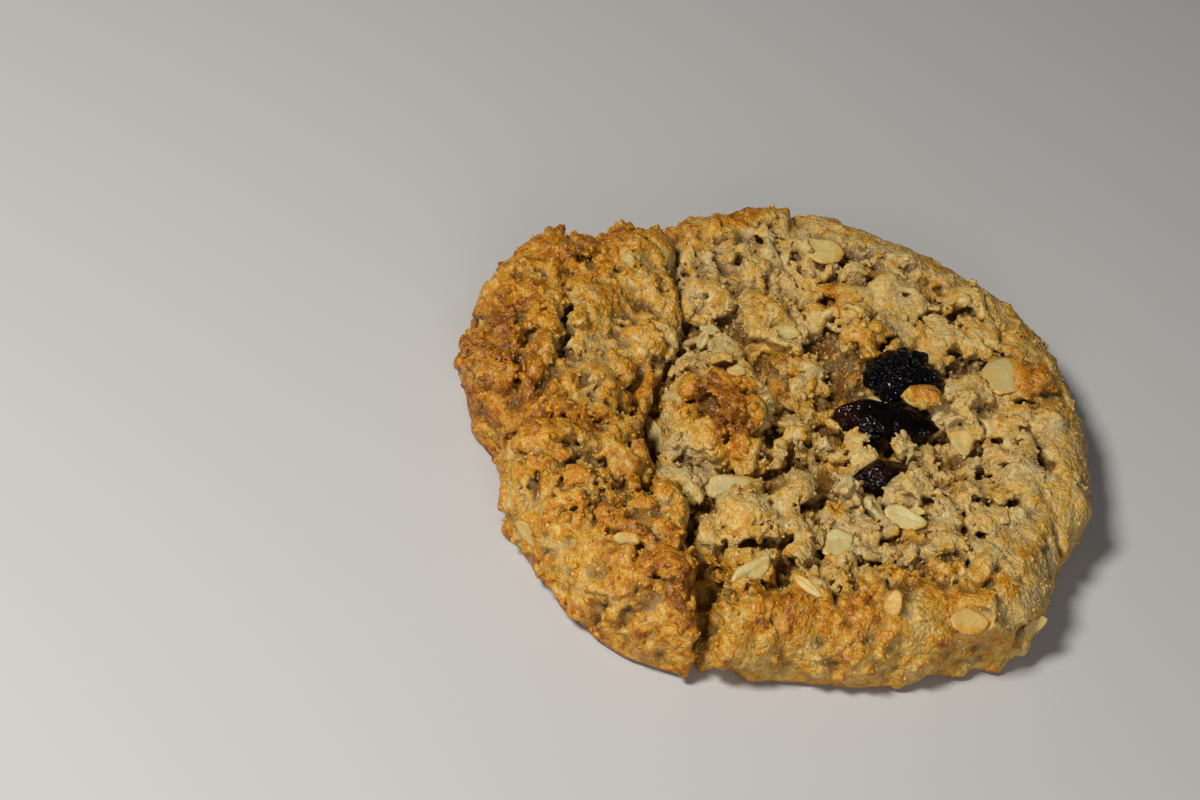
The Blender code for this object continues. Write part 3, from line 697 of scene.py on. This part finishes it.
def carve_small_cracks(count):
    """Short cracks, mostly along the rim, and on the slab from back to front."""
    for _ in range(count):
        angle = draw.uniform(-math.pi, math.pi)
        radius = OUTLINE[int(math.degrees(angle)) + 180 - 1] - draw.uniform(2.0, 12.0)
        length, bend = draw.uniform(1.6, 5.0), draw.normal(0, 0.35)
        heading = angle + math.pi / 2 + draw.normal(0, 0.5)
        x, y = radius * math.cos(angle), radius * math.sin(angle)
        quiet = flat_sample(calm, np.array([x]), np.array([y]))[0]
        lift = (flat_sample(ground_height, np.array([x]), np.array([y]))[0] - READING_HEIGHT) * SIGHT_SLOPE
        path = []
        for step in (-0.5, 0.0, 0.5):
            turn = heading + bend * step
            path.append((
                x + length * step * math.cos(turn) - TABLE_ORIGIN[0],
                y + lift + length * step * math.sin(turn) - TABLE_ORIGIN[1],
            ))
        carve_crack(path, draw.uniform(0.14, 0.3) * (1 - 0.5 * quiet), draw.uniform(0.6, 1.3) * (1 - 0.5 * quiet), 0.25)


def carve_split(inner_end, outer_end, half_width):
    """A gap right through the rim, down to the base."""
    cut, gap, along = path_distance((inner_end, outer_end), 0.4)
    wall = gap[:, :, None] - half_width * (0.75 + 0.25 * from_side) + 0.15 * small_noise[cut]
    dough[cut] = smooth_max(dough[cut], -wall, 0.3)


def carve_bite(x, y, z, *reach):
    centre = np.array([x + TABLE_ORIGIN[0], y + TABLE_ORIGIN[1], z])
    cut, offsets = space.window(centre, max(reach) + 1)
    ball = np.sqrt(sum((offset / size) ** 2 for offset, size in zip(offsets, reach)))
    bite = (ball - 1) * min(reach) + 0.2 * small_noise[cut] + 0.3 * middle_noise[cut]
    dough[cut] = smooth_max(dough[cut], -bite, 0.3)


carve_split(*SPLIT)
for bite in BITES:
    carve_bite(*bite)
for path, half_width, depth in CRACKS:
    carve_crack(path, half_width, depth)
for hole in HOLES:
    carve_hole(*hole)
carve_small_cracks(90)
dough = space.blur(dough, DOUGH_VOXEL)

# ---- Oat flakes ----


def flake_frames():
    """Centre, rotation, half length, half width and browning of each bare flake."""
    found = []
    for x, y, length, width, turn, tilt, roll, brown in FLAKES:
        centre = seen(x, y)
        centre[2] += 0.1
        found.append((centre, turn_matrix(turn, tilt, roll), length / 2, width / 2, brown))
    tries = 0
    while len(found) < len(FLAKES) + EXTRA_FLAKES and tries < 4000:
        tries += 1
        angle, radius = draw.uniform(-math.pi, math.pi), 38 * math.sqrt(draw.uniform(0, 1))
        x, y = radius * math.cos(angle), radius * math.sin(angle)
        length = draw.uniform(*EXTRA_FLAKE_LENGTHS)
        if float(edge_distance(np.array(x), np.array(y))) < 4 or float(slab_share(np.array(x), np.array(y))) > 0.5:
            continue
        if any(math.hypot(x - c[0], y - c[1]) < half + length / 2 + 1 for c, _, half, _, _ in found):
            continue
        z = flat_sample(ground_height, np.array([x]), np.array([y]))[0]
        if space.sample(raisins, np.array([[x, y, z]]))[0] < length / 2 + 0.5:
            continue
        rotation = turn_matrix(draw.uniform(0, 360), draw.normal(6, 24), draw.normal(0, 26))
        centre = np.array([x, y, z + draw.uniform(-0.35, 0.1)])
        brown = draw.uniform(0.1, 0.5)
        found.append((centre, rotation, length / 2, length / 2 * draw.uniform(0.5, 0.85), brown))
    return found


flakes = flake_frames()


def flake_zone(centre, rotation, half_length, half_width):
    """The grid around a flake: how far outside its outline each point lies, and how far above its middle plane."""
    cut, (dx, dy, dz) = space.window(centre, half_length + 1.5)
    u, v, w = (dx * rotation[0, k] + dy * rotation[1, k] + dz * rotation[2, k] for k in range(3))
    reach = np.sqrt((u / half_length) ** 2 + (v / half_width) ** 2)
    return cut, (reach - 0.78) * half_width + 0.22 * small_noise[cut] + 0.44 * middle_noise[cut], w


def bed_flake(*flake):
    """Dough rises to meet the flake from below."""
    cut, outside, above = flake_zone(*flake)
    dough[cut] = smooth_min(dough[cut], np.maximum(outside, np.abs(above + 0.85) - 0.75), 0.5)


def clear_flake(*flake):
    """Nothing covers the flake's upper face but for its edge."""
    cut, outside, above = flake_zone(*flake)
    dough[cut] = smooth_max(dough[cut], -np.maximum(outside, np.abs(above - 0.95) - 1.05), 0.1)


for flake in flakes:
    bed_flake(*flake[:4])


def spots_beside_flakes():
    """Spots of the torn surface but for the faces of the bare flakes, so that grains cover only their edges."""
    spots, normals, looseness = surface_spots(dough)
    bare = np.ones(len(spots), bool)
    for centre, rotation, half_length, half_width, _ in flakes:
        local = (spots - centre) @ rotation
        bare &= (np.abs(local[:, 2]) > 1.2) | (np.hypot(local[:, 0] / half_length, local[:, 1] / half_width) > 0.95)
    return spots[bare], normals[bare], looseness[bare]


spots, spot_normals, spot_looseness = spots_beside_flakes()
add_grains(SMALL_GRAINS, 0.0)
dough -= from_base * (1 - 0.7 * oat) * (0.10 * fine_noise + 0.07 * small_noise)
dough = smooth_max(dough, cad - MOST_PROUD, 0.2)
for flake in flakes:
    clear_flake(*flake[:4])
for x, y, along, across, up, turn, brown in CLUMPS:
    add_grain(seen(x, y), turn_matrix(turn, 0, 0), np.array([along, across, up]), brown, 0.0)

# ---- Limits: the raisins' own room, the flat base and the CAD box ----

dough = np.maximum(dough, 0.03 - raisins)
pits = 0.22 * np.maximum(middle_noise[:, :, :1] - 0.7, 0) + 0.10 * np.maximum(small_noise[:, :, :1] - 0.6, 0)
dough = np.maximum(dough, pits + 0.0 - space.z)
inset = 0.06
dough = np.maximum(dough, space.z - (top_of_box - inset))
for axis, ticks in enumerate((space.x, space.y)):
    dough = np.maximum(dough, np.maximum(low[axis] + inset - ticks, ticks - (high[axis] - inset)))

points, triangles = largest_piece(*space.surface(dough))
dough_piece = make_object("baked_dough", points, triangles)
decimate(dough_piece, DOUGH_TRIANGLES)

# ---- Browning ----

patch_centres = np.array([seen(x, y) for x, y, _, _ in PATCHES])
patch_facts = np.array([(radius, amount) for _, _, radius, amount in PATCHES])


def region_browning(points):
    """How strongly each place baked: 0 pale to 1 dark, before the finer unevenness."""
    x, y, z = points.T
    edge = edge_distance(x, y)
    slab = slab_share(x, y)
    top = smooth_step(5.0, 9.5, z)
    crest = np.exp(-(((edge - 4.0) / 3.6) ** 2)) * top
    paler = flat_sample(calm, x, y) * smooth_step(-45, -15, np.degrees(np.arctan2(y, x)))
    brown = 0.20 + 0.20 * crest + 0.27 * slab * top - 0.12 * paler
    brown += (1 - top) * (0.22 + 0.22 * slab)
    brown += 0.30 * smooth_step(1.6, 0.2, z)
    for centre, (radius, amount) in zip(patch_centres, patch_facts):
        gap = np.linalg.norm(points - centre, axis=1)
        brown += amount * (1 - smooth_step(0.45 * radius, 1.25 * radius, gap))
    return brown


def bulge(points):
    """Above 0 where the surface is a bump and below 0 in a hollow."""
    return space.sample(rounded, points)


rounded = space.blur(np.clip(dough, -2.0, 2.0), 1.0)


def finish_dough():
    points = vertex_points(dough_piece)
    bumps = bulge(points)
    brown = region_browning(points) + space.sample(tint, points)
    x, y, _ = points.T
    crust = np.maximum(slab_share(x, y), 1 - flat_sample(crumbly, x, y))
    brown += (0.10 + 0.24 * crust) * np.clip(bumps, -0.6, 0.5)
    brown += 0.055 * space.sample(broad_noise, points) + 0.04 * space.sample(middle_noise, points)
    set_attribute(dough_piece, "browning", brown)
    set_attribute(dough_piece, "bump_height", bumps)
    set_attribute(dough_piece, "oat_share", space.sample(oat, points))


finish_dough()


# ---- Flake, crumb and raisin meshes ----


def flake_outline(around):
    """Reach of a flake's edge in each direction: an oval with a few straight broken edges."""
    angles = np.arange(around) * math.tau / around
    reach = 1 + 0.05 * np.sin(2 * angles + draw.uniform(0, math.tau)) + 0.02 * draw.standard_normal(around)
    for _ in range(draw.integers(2, 6)):
        facing = np.cos(angles - draw.uniform(0, math.tau))
        reach = np.minimum(reach, draw.uniform(0.72, 1.0) / np.maximum(facing, 0.05))
    return angles, reach


def flake_mesh(half_length, half_width):
    """One rolled oat: a thin oval with broken edges, a crease along its middle, and one side curled up."""
    rings, around = 6, 28
    angles, reaches = flake_outline(around)
    phase = draw.uniform(0, math.tau, 2)
    cup, curl, curl_angle = draw.uniform(-0.03, 0.10), draw.uniform(0.0, 0.5), draw.uniform(0, math.tau)
    points, triangles = [], []
    for side in (1, -1):
        points.append((0, 0, side * FLAKE_HALF_THICKNESS * 0.8, 0))
        for ring in range(1, rings + 1):
            share = ring / rings
            for angle, reach in zip(angles, reaches):
                u, v = share * reach * math.cos(angle), share * reach * math.sin(angle)
                thick = FLAKE_HALF_THICKNESS * math.sqrt(1 - (share * 0.985) ** 8)
                crease = 0.10 * math.exp(-((v / 0.14) ** 2)) * (1 - share ** 2)
                wave = 0.05 * math.sin(3.5 * u + phase[0]) + 0.04 * math.sin(5 * v + phase[1])
                lifted = max(0.0, share * reach * math.cos(angle - curl_angle) - 0.3)
                bend = cup * (u * u * half_length + v * v * half_width) + curl * lifted * lifted * half_width
                points.append((u * half_length, v * half_width, side * (thick - crease) + wave + bend, share))
    per_side = 1 + rings * around
    for side in (0, 1):
        base = side * per_side
        for step in range(around):
            after = (step + 1) % around
            fan = [base, base + 1 + step, base + 1 + after]
            triangles.append(fan if side == 0 else fan[::-1])
            for ring in range(rings - 1):
                a, b = base + 1 + ring * around + step, base + 1 + ring * around + after
                quad = [a, a + around, b + around, b]
                if side:
                    quad.reverse()
                triangles += [[quad[0], quad[1], quad[2]], [quad[0], quad[2], quad[3]]]
    for step in range(around):
        after = (step + 1) % around
        top, under = 1 + (rings - 1) * around, per_side + 1 + (rings - 1) * around
        triangles += [[top + step, under + step, under + after], [top + step, under + after, top + after]]
    return np.array(points), np.array(triangles)


def kept_in_box(points):
    inside = inset + 0.02
    points[:, 2] = np.clip(points[:, 2], 0.3, top_of_box - inside)
    for axis in range(2):
        points[:, axis] = np.clip(points[:, axis], low[axis] + inside, high[axis] - inside)
    return points


def build_flakes():
    all_points, all_triangles, reaches, browns, tones = [], [], [], [], []
    count = 0
    for centre, rotation, half_length, half_width, brown in flakes:
        points, triangles = flake_mesh(half_length, half_width)
        all_points.append(points[:, :3] @ rotation.T + centre)
        all_triangles.append(triangles + count)
        reaches.append(points[:, 3])
        browns.append(np.full(len(points), brown))
        tones.append(np.full(len(points), draw.uniform(0, 1)))
        count += len(points)
    points = kept_in_box(np.concatenate(all_points))
    made = make_object("oat_flakes", points, np.concatenate(all_triangles))
    edge_brown = np.concatenate(reaches) ** 3
    local = np.clip(region_browning(points) - 0.25, 0, 1)
    set_attribute(made, "browning", np.concatenate(browns) + 0.22 * edge_brown + 0.35 * local)
    set_attribute(made, "tone", np.concatenate(tones))
    return made


flake_piece = build_flakes()


def ball(rounds):
    """Points and triangles of a unit ball."""
    import bmesh

    shell = bmesh.new()
    bmesh.ops.create_icosphere(shell, subdivisions=rounds, radius=1.0)
    points = np.array([vert.co[:] for vert in shell.verts])
    triangles = np.array([[vert.index for vert in face.verts] for face in shell.faces])
    shell.free()
    return points, triangles


def random_turns(count):
    """Rotation matrices in every direction alike."""
    q = draw.standard_normal((count, 4))
    a, b, c, d = (q / np.linalg.norm(q, axis=1, keepdims=True)).T
    return np.stack([
        np.stack([1 - 2 * (c * c + d * d), 2 * (b * c - a * d), 2 * (b * d + a * c)], axis=1),
        np.stack([2 * (b * c + a * d), 1 - 2 * (b * b + d * d), 2 * (c * d - a * b)], axis=1),
        np.stack([2 * (b * d - a * c), 2 * (c * d + a * b), 1 - 2 * (b * b + c * c)], axis=1),
    ], axis=1)


def scatter_crumbs(rounds, count, smallest, largest):
    """Uneven grains stuck all over the dough, most of them in its crumbly middle."""
    points = vertex_points(dough_piece)
    normals = space.slopes(dough, points)
    weight = (points[:, 2] > 1.2) * (normals[:, 2] > -0.1)
    weight = weight * (0.75 + 0.25 * flat_sample(crumbly, points[:, 0], points[:, 1]))
    weight = weight * (space.sample(raisins, points) > 0.4)
    picked = draw.choice(len(points), count, p=weight / weight.sum())
    shape, faces = ball(rounds)
    sizes = smallest * (largest / smallest) ** draw.uniform(0, 1, count) ** 1.5
    stretch = draw.uniform(0.5, 1.3, (count, 1, 3))
    uneven = 1 + 0.28 * draw.standard_normal((count, len(shape), 1))
    grains = shape[None] * stretch * uneven * sizes[:, None, None]
    grains = np.einsum("nij,nvj->nvi", random_turns(count), grains)
    centres = points[picked] + normals[picked] * (sizes * draw.uniform(-0.3, 0.3, count))[:, None]
    tones = draw.uniform(0, 1, count)
    baked = region_browning(centres)
    brown = baked + np.clip(baked - 0.3, 0, 0.3) * np.clip(bulge(centres), -0.5, 0.2) + draw.normal(-0.06, 0.08, count)
    faces = faces[None] + (np.arange(count) * len(shape))[:, None, None]
    return (
        (grains + centres[:, None]).reshape(-1, 3),
        faces.reshape(-1, 3),
        np.repeat(brown, len(shape)),
        np.repeat(tones, len(shape)),
    )


def build_crumbs():
    groups = [
        scatter_crumbs(1, int(6000 * CRUMB_SHARE), 0.13, 0.30),
        scatter_crumbs(2, int(200 * CRUMB_SHARE), 0.28, 0.50),
    ]
    count, points, triangles = 0, [], []
    for group in groups:
        points.append(group[0])
        triangles.append(group[1] + count)
        count += len(group[0])
    points = kept_in_box(np.concatenate(points))
    made = make_object("crumbs", points, np.concatenate(triangles), smooth=False)
    set_attribute(made, "browning", np.concatenate([group[2] for group in groups]))
    set_attribute(made, "tone", np.concatenate([group[3] for group in groups]))
    return made


crumb_piece = build_crumbs()


def build_raisin(name, creases, folds):
    """The CAD raisin with a wrinkled skin: ridged noise leaves sharp creases between soft swellings."""
    low_corner, high_corner = (np.array(corner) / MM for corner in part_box(name))
    room = Space(low_corner - 1, high_corner + 1, RAISIN_VOXEL)
    skin = room.mesh_distance(*mesh_arrays(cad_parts[name]), band=2.5)
    skin = room.blur(skin, 0.28) + 0.10
    for pitch, depth in folds:
        skin -= depth * (np.abs(room.noise(draw, pitch)) - 0.7)
    for pitch, depth in creases:
        skin += depth * (np.abs(room.noise(draw, pitch)) - 0.7)
    skin = np.maximum(skin, room.z - (top_of_box - inset))
    points, triangles = largest_piece(*room.surface(skin))
    made = make_object("visible_" + name, points, triangles)
    decimate(made, 40000)
    points = vertex_points(made)
    set_attribute(made, "bump_height", room.sample(room.blur(np.clip(skin, -0.6, 0.6), 0.35), points))
    return made


RAISIN_SKINS = {
    "raisin_wrinkled": (((1.1, 0.26), (0.6, 0.12)), ((2.0, 0.22),)),
    "raisin_glossy": (((0.8, 0.04),), ((2.8, 0.32), (1.6, 0.12))),
    "raisin_sunken": (((0.8, 0.08),), ((2.0, 0.20),)),
}
raisin_pieces = {name: build_raisin(name, *RAISIN_SKINS[name]) for name in raisin_names}

# ---- Materials ----


class Shader:
    """A material's node tree, with short ways to add and join nodes."""

    def __init__(self, name):
        self.material = bpy.data.materials.new(name)
        self.material.use_nodes = True
        self.tree = self.material.node_tree
        self.surface = self.tree.nodes["Principled BSDF"]

    def node(self, kind, **settings):
        made = self.tree.nodes.new("ShaderNode" + kind)
        for setting, value in settings.items():
            setattr(made, setting, value)
        return made

    def join(self, source, target):
        self.tree.links.new(source, target)

    def feed(self, socket, value):
        if isinstance(value, bpy.types.NodeSocket):
            self.join(value, socket)
        else:
            socket.default_value = value

    def attribute(self, name):
        return self.node("Attribute", attribute_name=name).outputs["Fac"]

    def place(self):
        return self.node("TexCoord").outputs["Object"]

    def noise(self, scale, detail=4.0, roughness=0.6, distortion=0.0):
        """Noise from 0 to 1 with about scale features per metre."""
        made = self.node("TexNoise")
        self.join(self.place(), made.inputs["Vector"])
        for socket, value in (("Scale", scale), ("Detail", detail), ("Roughness", roughness), ("Distortion", distortion)):
            made.inputs[socket].default_value = value
        return made.outputs["Fac"]

    def swayed(self, scale):
        """The place, moved about by up to a quarter of a cell, so that cells come out uneven."""
        made = self.node("TexNoise")
        self.join(self.place(), made.inputs["Vector"])
        made.inputs["Scale"].default_value = scale
        shift = self.node("VectorMath", operation="MULTIPLY_ADD")
        self.join(made.outputs["Color"], shift.inputs[0])
        shift.inputs[1].default_value = (1 / scale, 1 / scale, 1 / scale)
        self.join(self.place(), shift.inputs[2])
        return shift.outputs["Vector"]

    def cells(self, scale, feature="F1"):
        """Cells with about scale of them per metre: the distance to the middle or edge of each."""
        made = self.node("TexVoronoi", feature=feature)
        self.join(self.swayed(scale), made.inputs["Vector"])
        made.inputs["Scale"].default_value = scale
        return made.outputs["Distance"]

    def tones(self, scale, spread):
        """One random number for each cell of the same size, up to spread above or below 0."""
        made = self.node("TexVoronoi")
        self.join(self.swayed(scale), made.inputs["Vector"])
        made.inputs["Scale"].default_value = scale
        return self.rescale(made.outputs["Color"], 0.15, 0.85, -spread, spread)

    def math(self, operation, first, second=0.0, third=0.0):
        made = self.node("Math", operation=operation)
        for socket, value in zip(made.inputs, (first, second, third)):
            self.feed(socket, value)
        return made.outputs[0]

    def rescale(self, value, from_low, from_high, to_low=0.0, to_high=1.0):
        made = self.node("MapRange")
        self.feed(made.inputs["Value"], value)
        for socket, number in (("From Min", from_low), ("From Max", from_high), ("To Min", to_low), ("To Max", to_high)):
            made.inputs[socket].default_value = number
        return made.outputs["Result"]

    def ramp(self, value, stops):
        """Colours along a 0 to 1 value. Each stop is (position, colour)."""
        made = self.node("ValToRGB")
        self.feed(made.inputs["Fac"], value)
        band = made.color_ramp
        while len(band.elements) < len(stops):
            band.elements.new(0.5)
        for element, (position, colour) in zip(band.elements, stops):
            element.position = position
            element.color = (*colour, 1.0)
        return made.outputs["Color"]

    def mix(self, share, first, second, blend="MIX"):
        made = self.node("Mix", data_type="RGBA", blend_type=blend)
        self.feed(made.inputs["Factor"], share)
        for socket, value in ((made.inputs[6], first), (made.inputs[7], second)):
            self.feed(socket, (*value, 1.0) if isinstance(value, tuple) else value)
        return made.outputs[2]

    def bump(self, height, distance, strength=1.0, under=None):
        """Fine relief. The distance is in millimetres."""
        made = self.node("Bump")
        made.inputs["Strength"].default_value = strength
        made.inputs["Distance"].default_value = distance * MM
        self.join(height, made.inputs["Height"])
        if under is not None:
            self.join(under, made.inputs["Normal"])
        return made.outputs["Normal"]

    def set(self, **values):
        for name, value in values.items():
            self.feed(self.surface.inputs[name.replace("_", " ")], value)


def linear(red, green, blue):
    """A colour given as on a screen, 0 to 255, in the shader's own scale."""
    return tuple(
        (v / 255 / 12.92) if v / 255 <= 0.04045 else ((v / 255 + 0.055) / 1.055) ** 2.4
        for v in (red, green, blue)
    )


BAKED_STOPS = (
    (0.0, linear(184, 158, 108)),
    (0.25, linear(204, 168, 94)),
    (0.45, linear(198, 148, 46)),
    (0.62, linear(194, 130, 16)),
    (0.80, linear(172, 102, 8)),
    (1.0, linear(118, 62, 8)),
)
FLAKE_STOPS = (
    (0.0, linear(206, 192, 136)),
    (0.25, linear(202, 178, 110)),
    (0.55, linear(194, 142, 50)),
    (1.0, linear(144, 86, 14)),
)


def dough_material():
    s = Shader("baked dough")
    mottle = s.rescale(s.noise(420, 5, 0.65), 0.3, 0.7, -0.16, 0.16)
    baked = s.attribute("browning")
    grain_tones = s.math("ADD", s.tones(1500, 0.15), s.tones(560, 0.06))
    grain_tones = s.math("MULTIPLY", grain_tones, s.rescale(baked, 0.15, 0.50, 0.6, 1.2))
    brown = s.math("ADD", s.math("ADD", baked, mottle), grain_tones)
    oat_share = s.rescale(s.attribute("oat_share"), 0.2, 0.7)
    colour = s.ramp(brown, BAKED_STOPS)
    colour = s.mix(s.math("MULTIPLY", oat_share, 0.7), colour, s.ramp(brown, FLAKE_STOPS))
    pale_flecks = s.rescale(s.noise(900, 2, 0.5), 0.62, 0.70)
    colour = s.mix(s.math("MULTIPLY", pale_flecks, 0.35), colour, linear(212, 188, 128))
    # Painted shade: the colour turns deep brown in the hollows of the relief, where shade falls.
    hollow = s.rescale(s.attribute("bump_height"), 0.02, -0.36)
    colour = s.mix(s.math("MULTIPLY", hollow, 0.85), colour, linear(80, 48, 14))
    granules = s.cells(1500)
    # Painted shade: darker brown along the edges between granules, in the low creases of the bump relief.
    between = s.rescale(granules, 0.40, 0.80)
    colour = s.mix(s.math("MULTIPLY", between, 0.30), colour, linear(128, 86, 36))
    # Painted highlights: small pale specks in the base colour that stand for glints on the crust.
    painted_glints = s.rescale(s.noise(2600, 2, 0.5), 0.62, 0.72)
    colour = s.mix(s.math("MULTIPLY", painted_glints, 0.45), colour, linear(232, 208, 150))
    specks = s.rescale(s.noise(1900, 2, 0.5), 0.40, 0.30)
    colour = s.mix(s.math("MULTIPLY", specks, 0.35), colour, linear(112, 70, 22))
    smoother = s.rescale(oat_share, 0.0, 1.0, 1.0, 0.4)
    relief = s.bump(s.math("MULTIPLY", s.math("SUBTRACT", 1.0, granules), smoother), 0.20, 1.0)
    relief = s.bump(s.math("MULTIPLY", s.math("SUBTRACT", 1.0, s.cells(2900)), smoother), 0.12, 1.0, relief)
    s.set(Base_Color=colour, Normal=relief)
    s.set(Roughness=s.rescale(brown, 0.2, 0.8, 0.52, 0.36))
    s.set(Specular_IOR_Level=0.32, Subsurface_Weight=0.22, Subsurface_Scale=0.0008)
    s.surface.inputs["Subsurface Radius"].default_value = (1.0, 0.45, 0.18)
    return s.material


def flake_material():
    s = Shader("rolled oat")
    streak = s.rescale(s.noise(1100, 4, 0.6), 0.3, 0.7, -0.12, 0.12)
    brown = s.math("ADD", s.attribute("browning"), streak)
    colour = s.ramp(brown, FLAKE_STOPS)
    colour = s.mix(s.math("MULTIPLY", s.attribute("tone"), 0.5), colour, linear(166, 148, 92))
    crumbed = s.rescale(s.noise(520, 4, 0.6), 0.48, 0.60)
    colour = s.mix(s.math("MULTIPLY", crumbed, 0.75), colour, s.ramp(s.math("ADD", brown, 0.15), BAKED_STOPS))
    relief = s.bump(s.noise(1500, 4, 0.65), 0.16, 0.9)
    s.set(Base_Color=colour, Normal=relief, Roughness=0.38, Specular_IOR_Level=0.4)
    s.set(Subsurface_Weight=0.25, Subsurface_Scale=0.001)
    s.surface.inputs["Subsurface Radius"].default_value = (1.0, 0.7, 0.35)
    return s.material


def crumb_material():
    s = Shader("crumbs")
    brown = s.math("ADD", s.attribute("browning"), s.rescale(s.noise(1200, 3, 0.6), 0.3, 0.7, -0.08, 0.08))
    colour = s.ramp(brown, BAKED_STOPS)
    colour = s.mix(s.rescale(s.attribute("tone"), 0.4, 1.0, 0.0, 0.5), colour, linear(150, 108, 48))
    relief = s.bump(s.noise(3000, 3, 0.6), 0.15, 0.6)
    s.set(Base_Color=colour, Normal=relief, Roughness=0.6, Specular_IOR_Level=0.2)
    s.set(Subsurface_Weight=0.10, Subsurface_Scale=0.0006)
    return s.material


def raisin_material(name, dark, red, gloss, wrinkle_scale, wrinkle_strength, red_from, red_to):
    """Black skin that turns dark red towards one end: from and to are x in millimetres."""
    s = Shader(name)
    across = s.node("SeparateXYZ")
    s.join(s.place(), across.inputs["Vector"])
    redness = s.rescale(across.outputs["X"], red_from * MM, red_to * MM)
    patch = s.math("MULTIPLY", redness, s.rescale(s.noise(260, 3, 0.6), 0.3, 0.6))
    colour = s.mix(patch, dark, red)
    raised = s.rescale(s.attribute("bump_height"), 0.0, 0.16)
    colour = s.mix(s.math("MULTIPLY", raised, 0.25), colour, tuple(1.4 * c for c in red))
    creases = s.rescale(s.cells(wrinkle_scale, "DISTANCE_TO_EDGE"), 0.0, 0.22)
    relief = s.bump(creases, 0.22, wrinkle_strength)
    relief = s.bump(s.noise(1700, 3, 0.6), 0.10, 0.5, relief)
    s.set(Base_Color=colour, Normal=relief, Roughness=gloss, Specular_IOR_Level=0.22)
    return s.material


def dress(piece, material, slot_name, *nodes):
    piece.data.materials.clear()
    piece.data.materials.append(material)
    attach(piece, "root")
    if nodes:
        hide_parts(*nodes)


dress(dough_piece, dough_material(), "dough", "dough")
dress(flake_piece, flake_material(), "dough")
dress(crumb_piece, crumb_material(), "dough")
skins = {
    "raisin_wrinkled": raisin_material(
        "wrinkled raisin", linear(6, 5, 7), linear(12, 8, 9), 0.17, 1300, 1.0, 5.0, 25.0),
    "raisin_glossy": raisin_material(
        "glossy raisin", linear(4, 3, 3), linear(40, 12, 8), 0.17, 900, 0.4, 10.5, 7.0),
    "raisin_sunken": raisin_material(
        "sunken raisin", linear(7, 5, 5), linear(70, 26, 10), 0.24, 1100, 0.5, 15.5, 18.0),
}
for name, piece in raisin_pieces.items():
    dress(piece, skins[name], "raisin", name)

# ---- Floor, light and camera ----


def build_floor():
    mesh = bpy.data.meshes.new("floor")
    half = 3.0
    mesh.from_pydata([(-half, -half, 0), (half, -half, 0), (half, half, 0), (-half, half, 0)], [], [(0, 1, 2, 3)])
    floor = bpy.data.objects.new("floor", mesh)
    bpy.context.scene.collection.objects.link(floor)
    s = Shader("floor")
    s.set(Base_Color=(0.52, 0.51, 0.495, 1.0), Roughness=0.9)
    mesh.materials.append(s.material)


def add_light(name, place, size, power, colour=(1.0, 1.0, 1.0)):
    data = bpy.data.lights.new(name, "AREA")
    data.shape = "DISK"
    data.size = size
    data.energy = power
    data.color = colour
    light = bpy.data.objects.new(name, data)
    bpy.context.scene.collection.objects.link(light)
    light.location = place
    light.rotation_euler = (-Vector(place)).to_track_quat("-Z", "Y").to_euler()


def build_light():
    world = bpy.data.worlds.new("studio")
    bpy.context.scene.world = world
    world.use_nodes = True
    world.node_tree.nodes["Background"].inputs["Color"].default_value = (1.0, 1.0, 1.0, 1.0)
    world.node_tree.nodes["Background"].inputs["Strength"].default_value = 0.045
    add_light("key", (-0.20, -0.20, 0.36), 0.11, 2.0, (1.0, 0.98, 0.95))
    add_light("fill", (0.12, -0.50, 0.20), 0.30, 0.9)
    bpy.context.scene.view_settings.view_transform = "Standard"


# Where the camera looks, how far away it is, and how its picture is framed.
AIM = (TABLE_ORIGIN[0] + 0.5, TABLE_ORIGIN[1] - 3.0, 6.0)
DISTANCE = 348.7
ROLL = math.radians(17.5)
LENS = 85.0
SENSOR = 36.0
# The aim point's place in the picture, as shares of its width right of and below the middle.
AIM_RIGHT = 0.1483
AIM_DOWN = 0.0408


def build_camera():
    data = bpy.data.cameras.new("camera")
    data.lens = LENS
    data.sensor_width = SENSOR
    data.clip_start = 0.01
    sight = Vector((0, math.cos(SIGHT_ELEVATION), -math.sin(SIGHT_ELEVATION)))
    up = Vector((0, math.sin(SIGHT_ELEVATION), math.cos(SIGHT_ELEVATION)))
    right = Vector((1, 0, 0))
    rolled_right = math.cos(ROLL) * right + math.sin(ROLL) * up
    rolled_up = math.cos(ROLL) * up - math.sin(ROLL) * right
    straight = Matrix((rolled_right, rolled_up, -sight)).transposed()
    off_axis = Vector((AIM_RIGHT * SENSOR / LENS, -AIM_DOWN * SENSOR / LENS, -1)).normalized()
    aside = off_axis.rotation_difference(Vector((0, 0, -1))).to_matrix()
    camera = bpy.data.objects.new("camera", data)
    bpy.context.scene.collection.objects.link(camera)
    place = (Vector(AIM) - sight * DISTANCE) * MM
    camera.matrix_world = Matrix.Translation(place) @ (straight @ aside).to_4x4()
    bpy.context.scene.camera = camera


build_floor()
build_light()
build_camera()
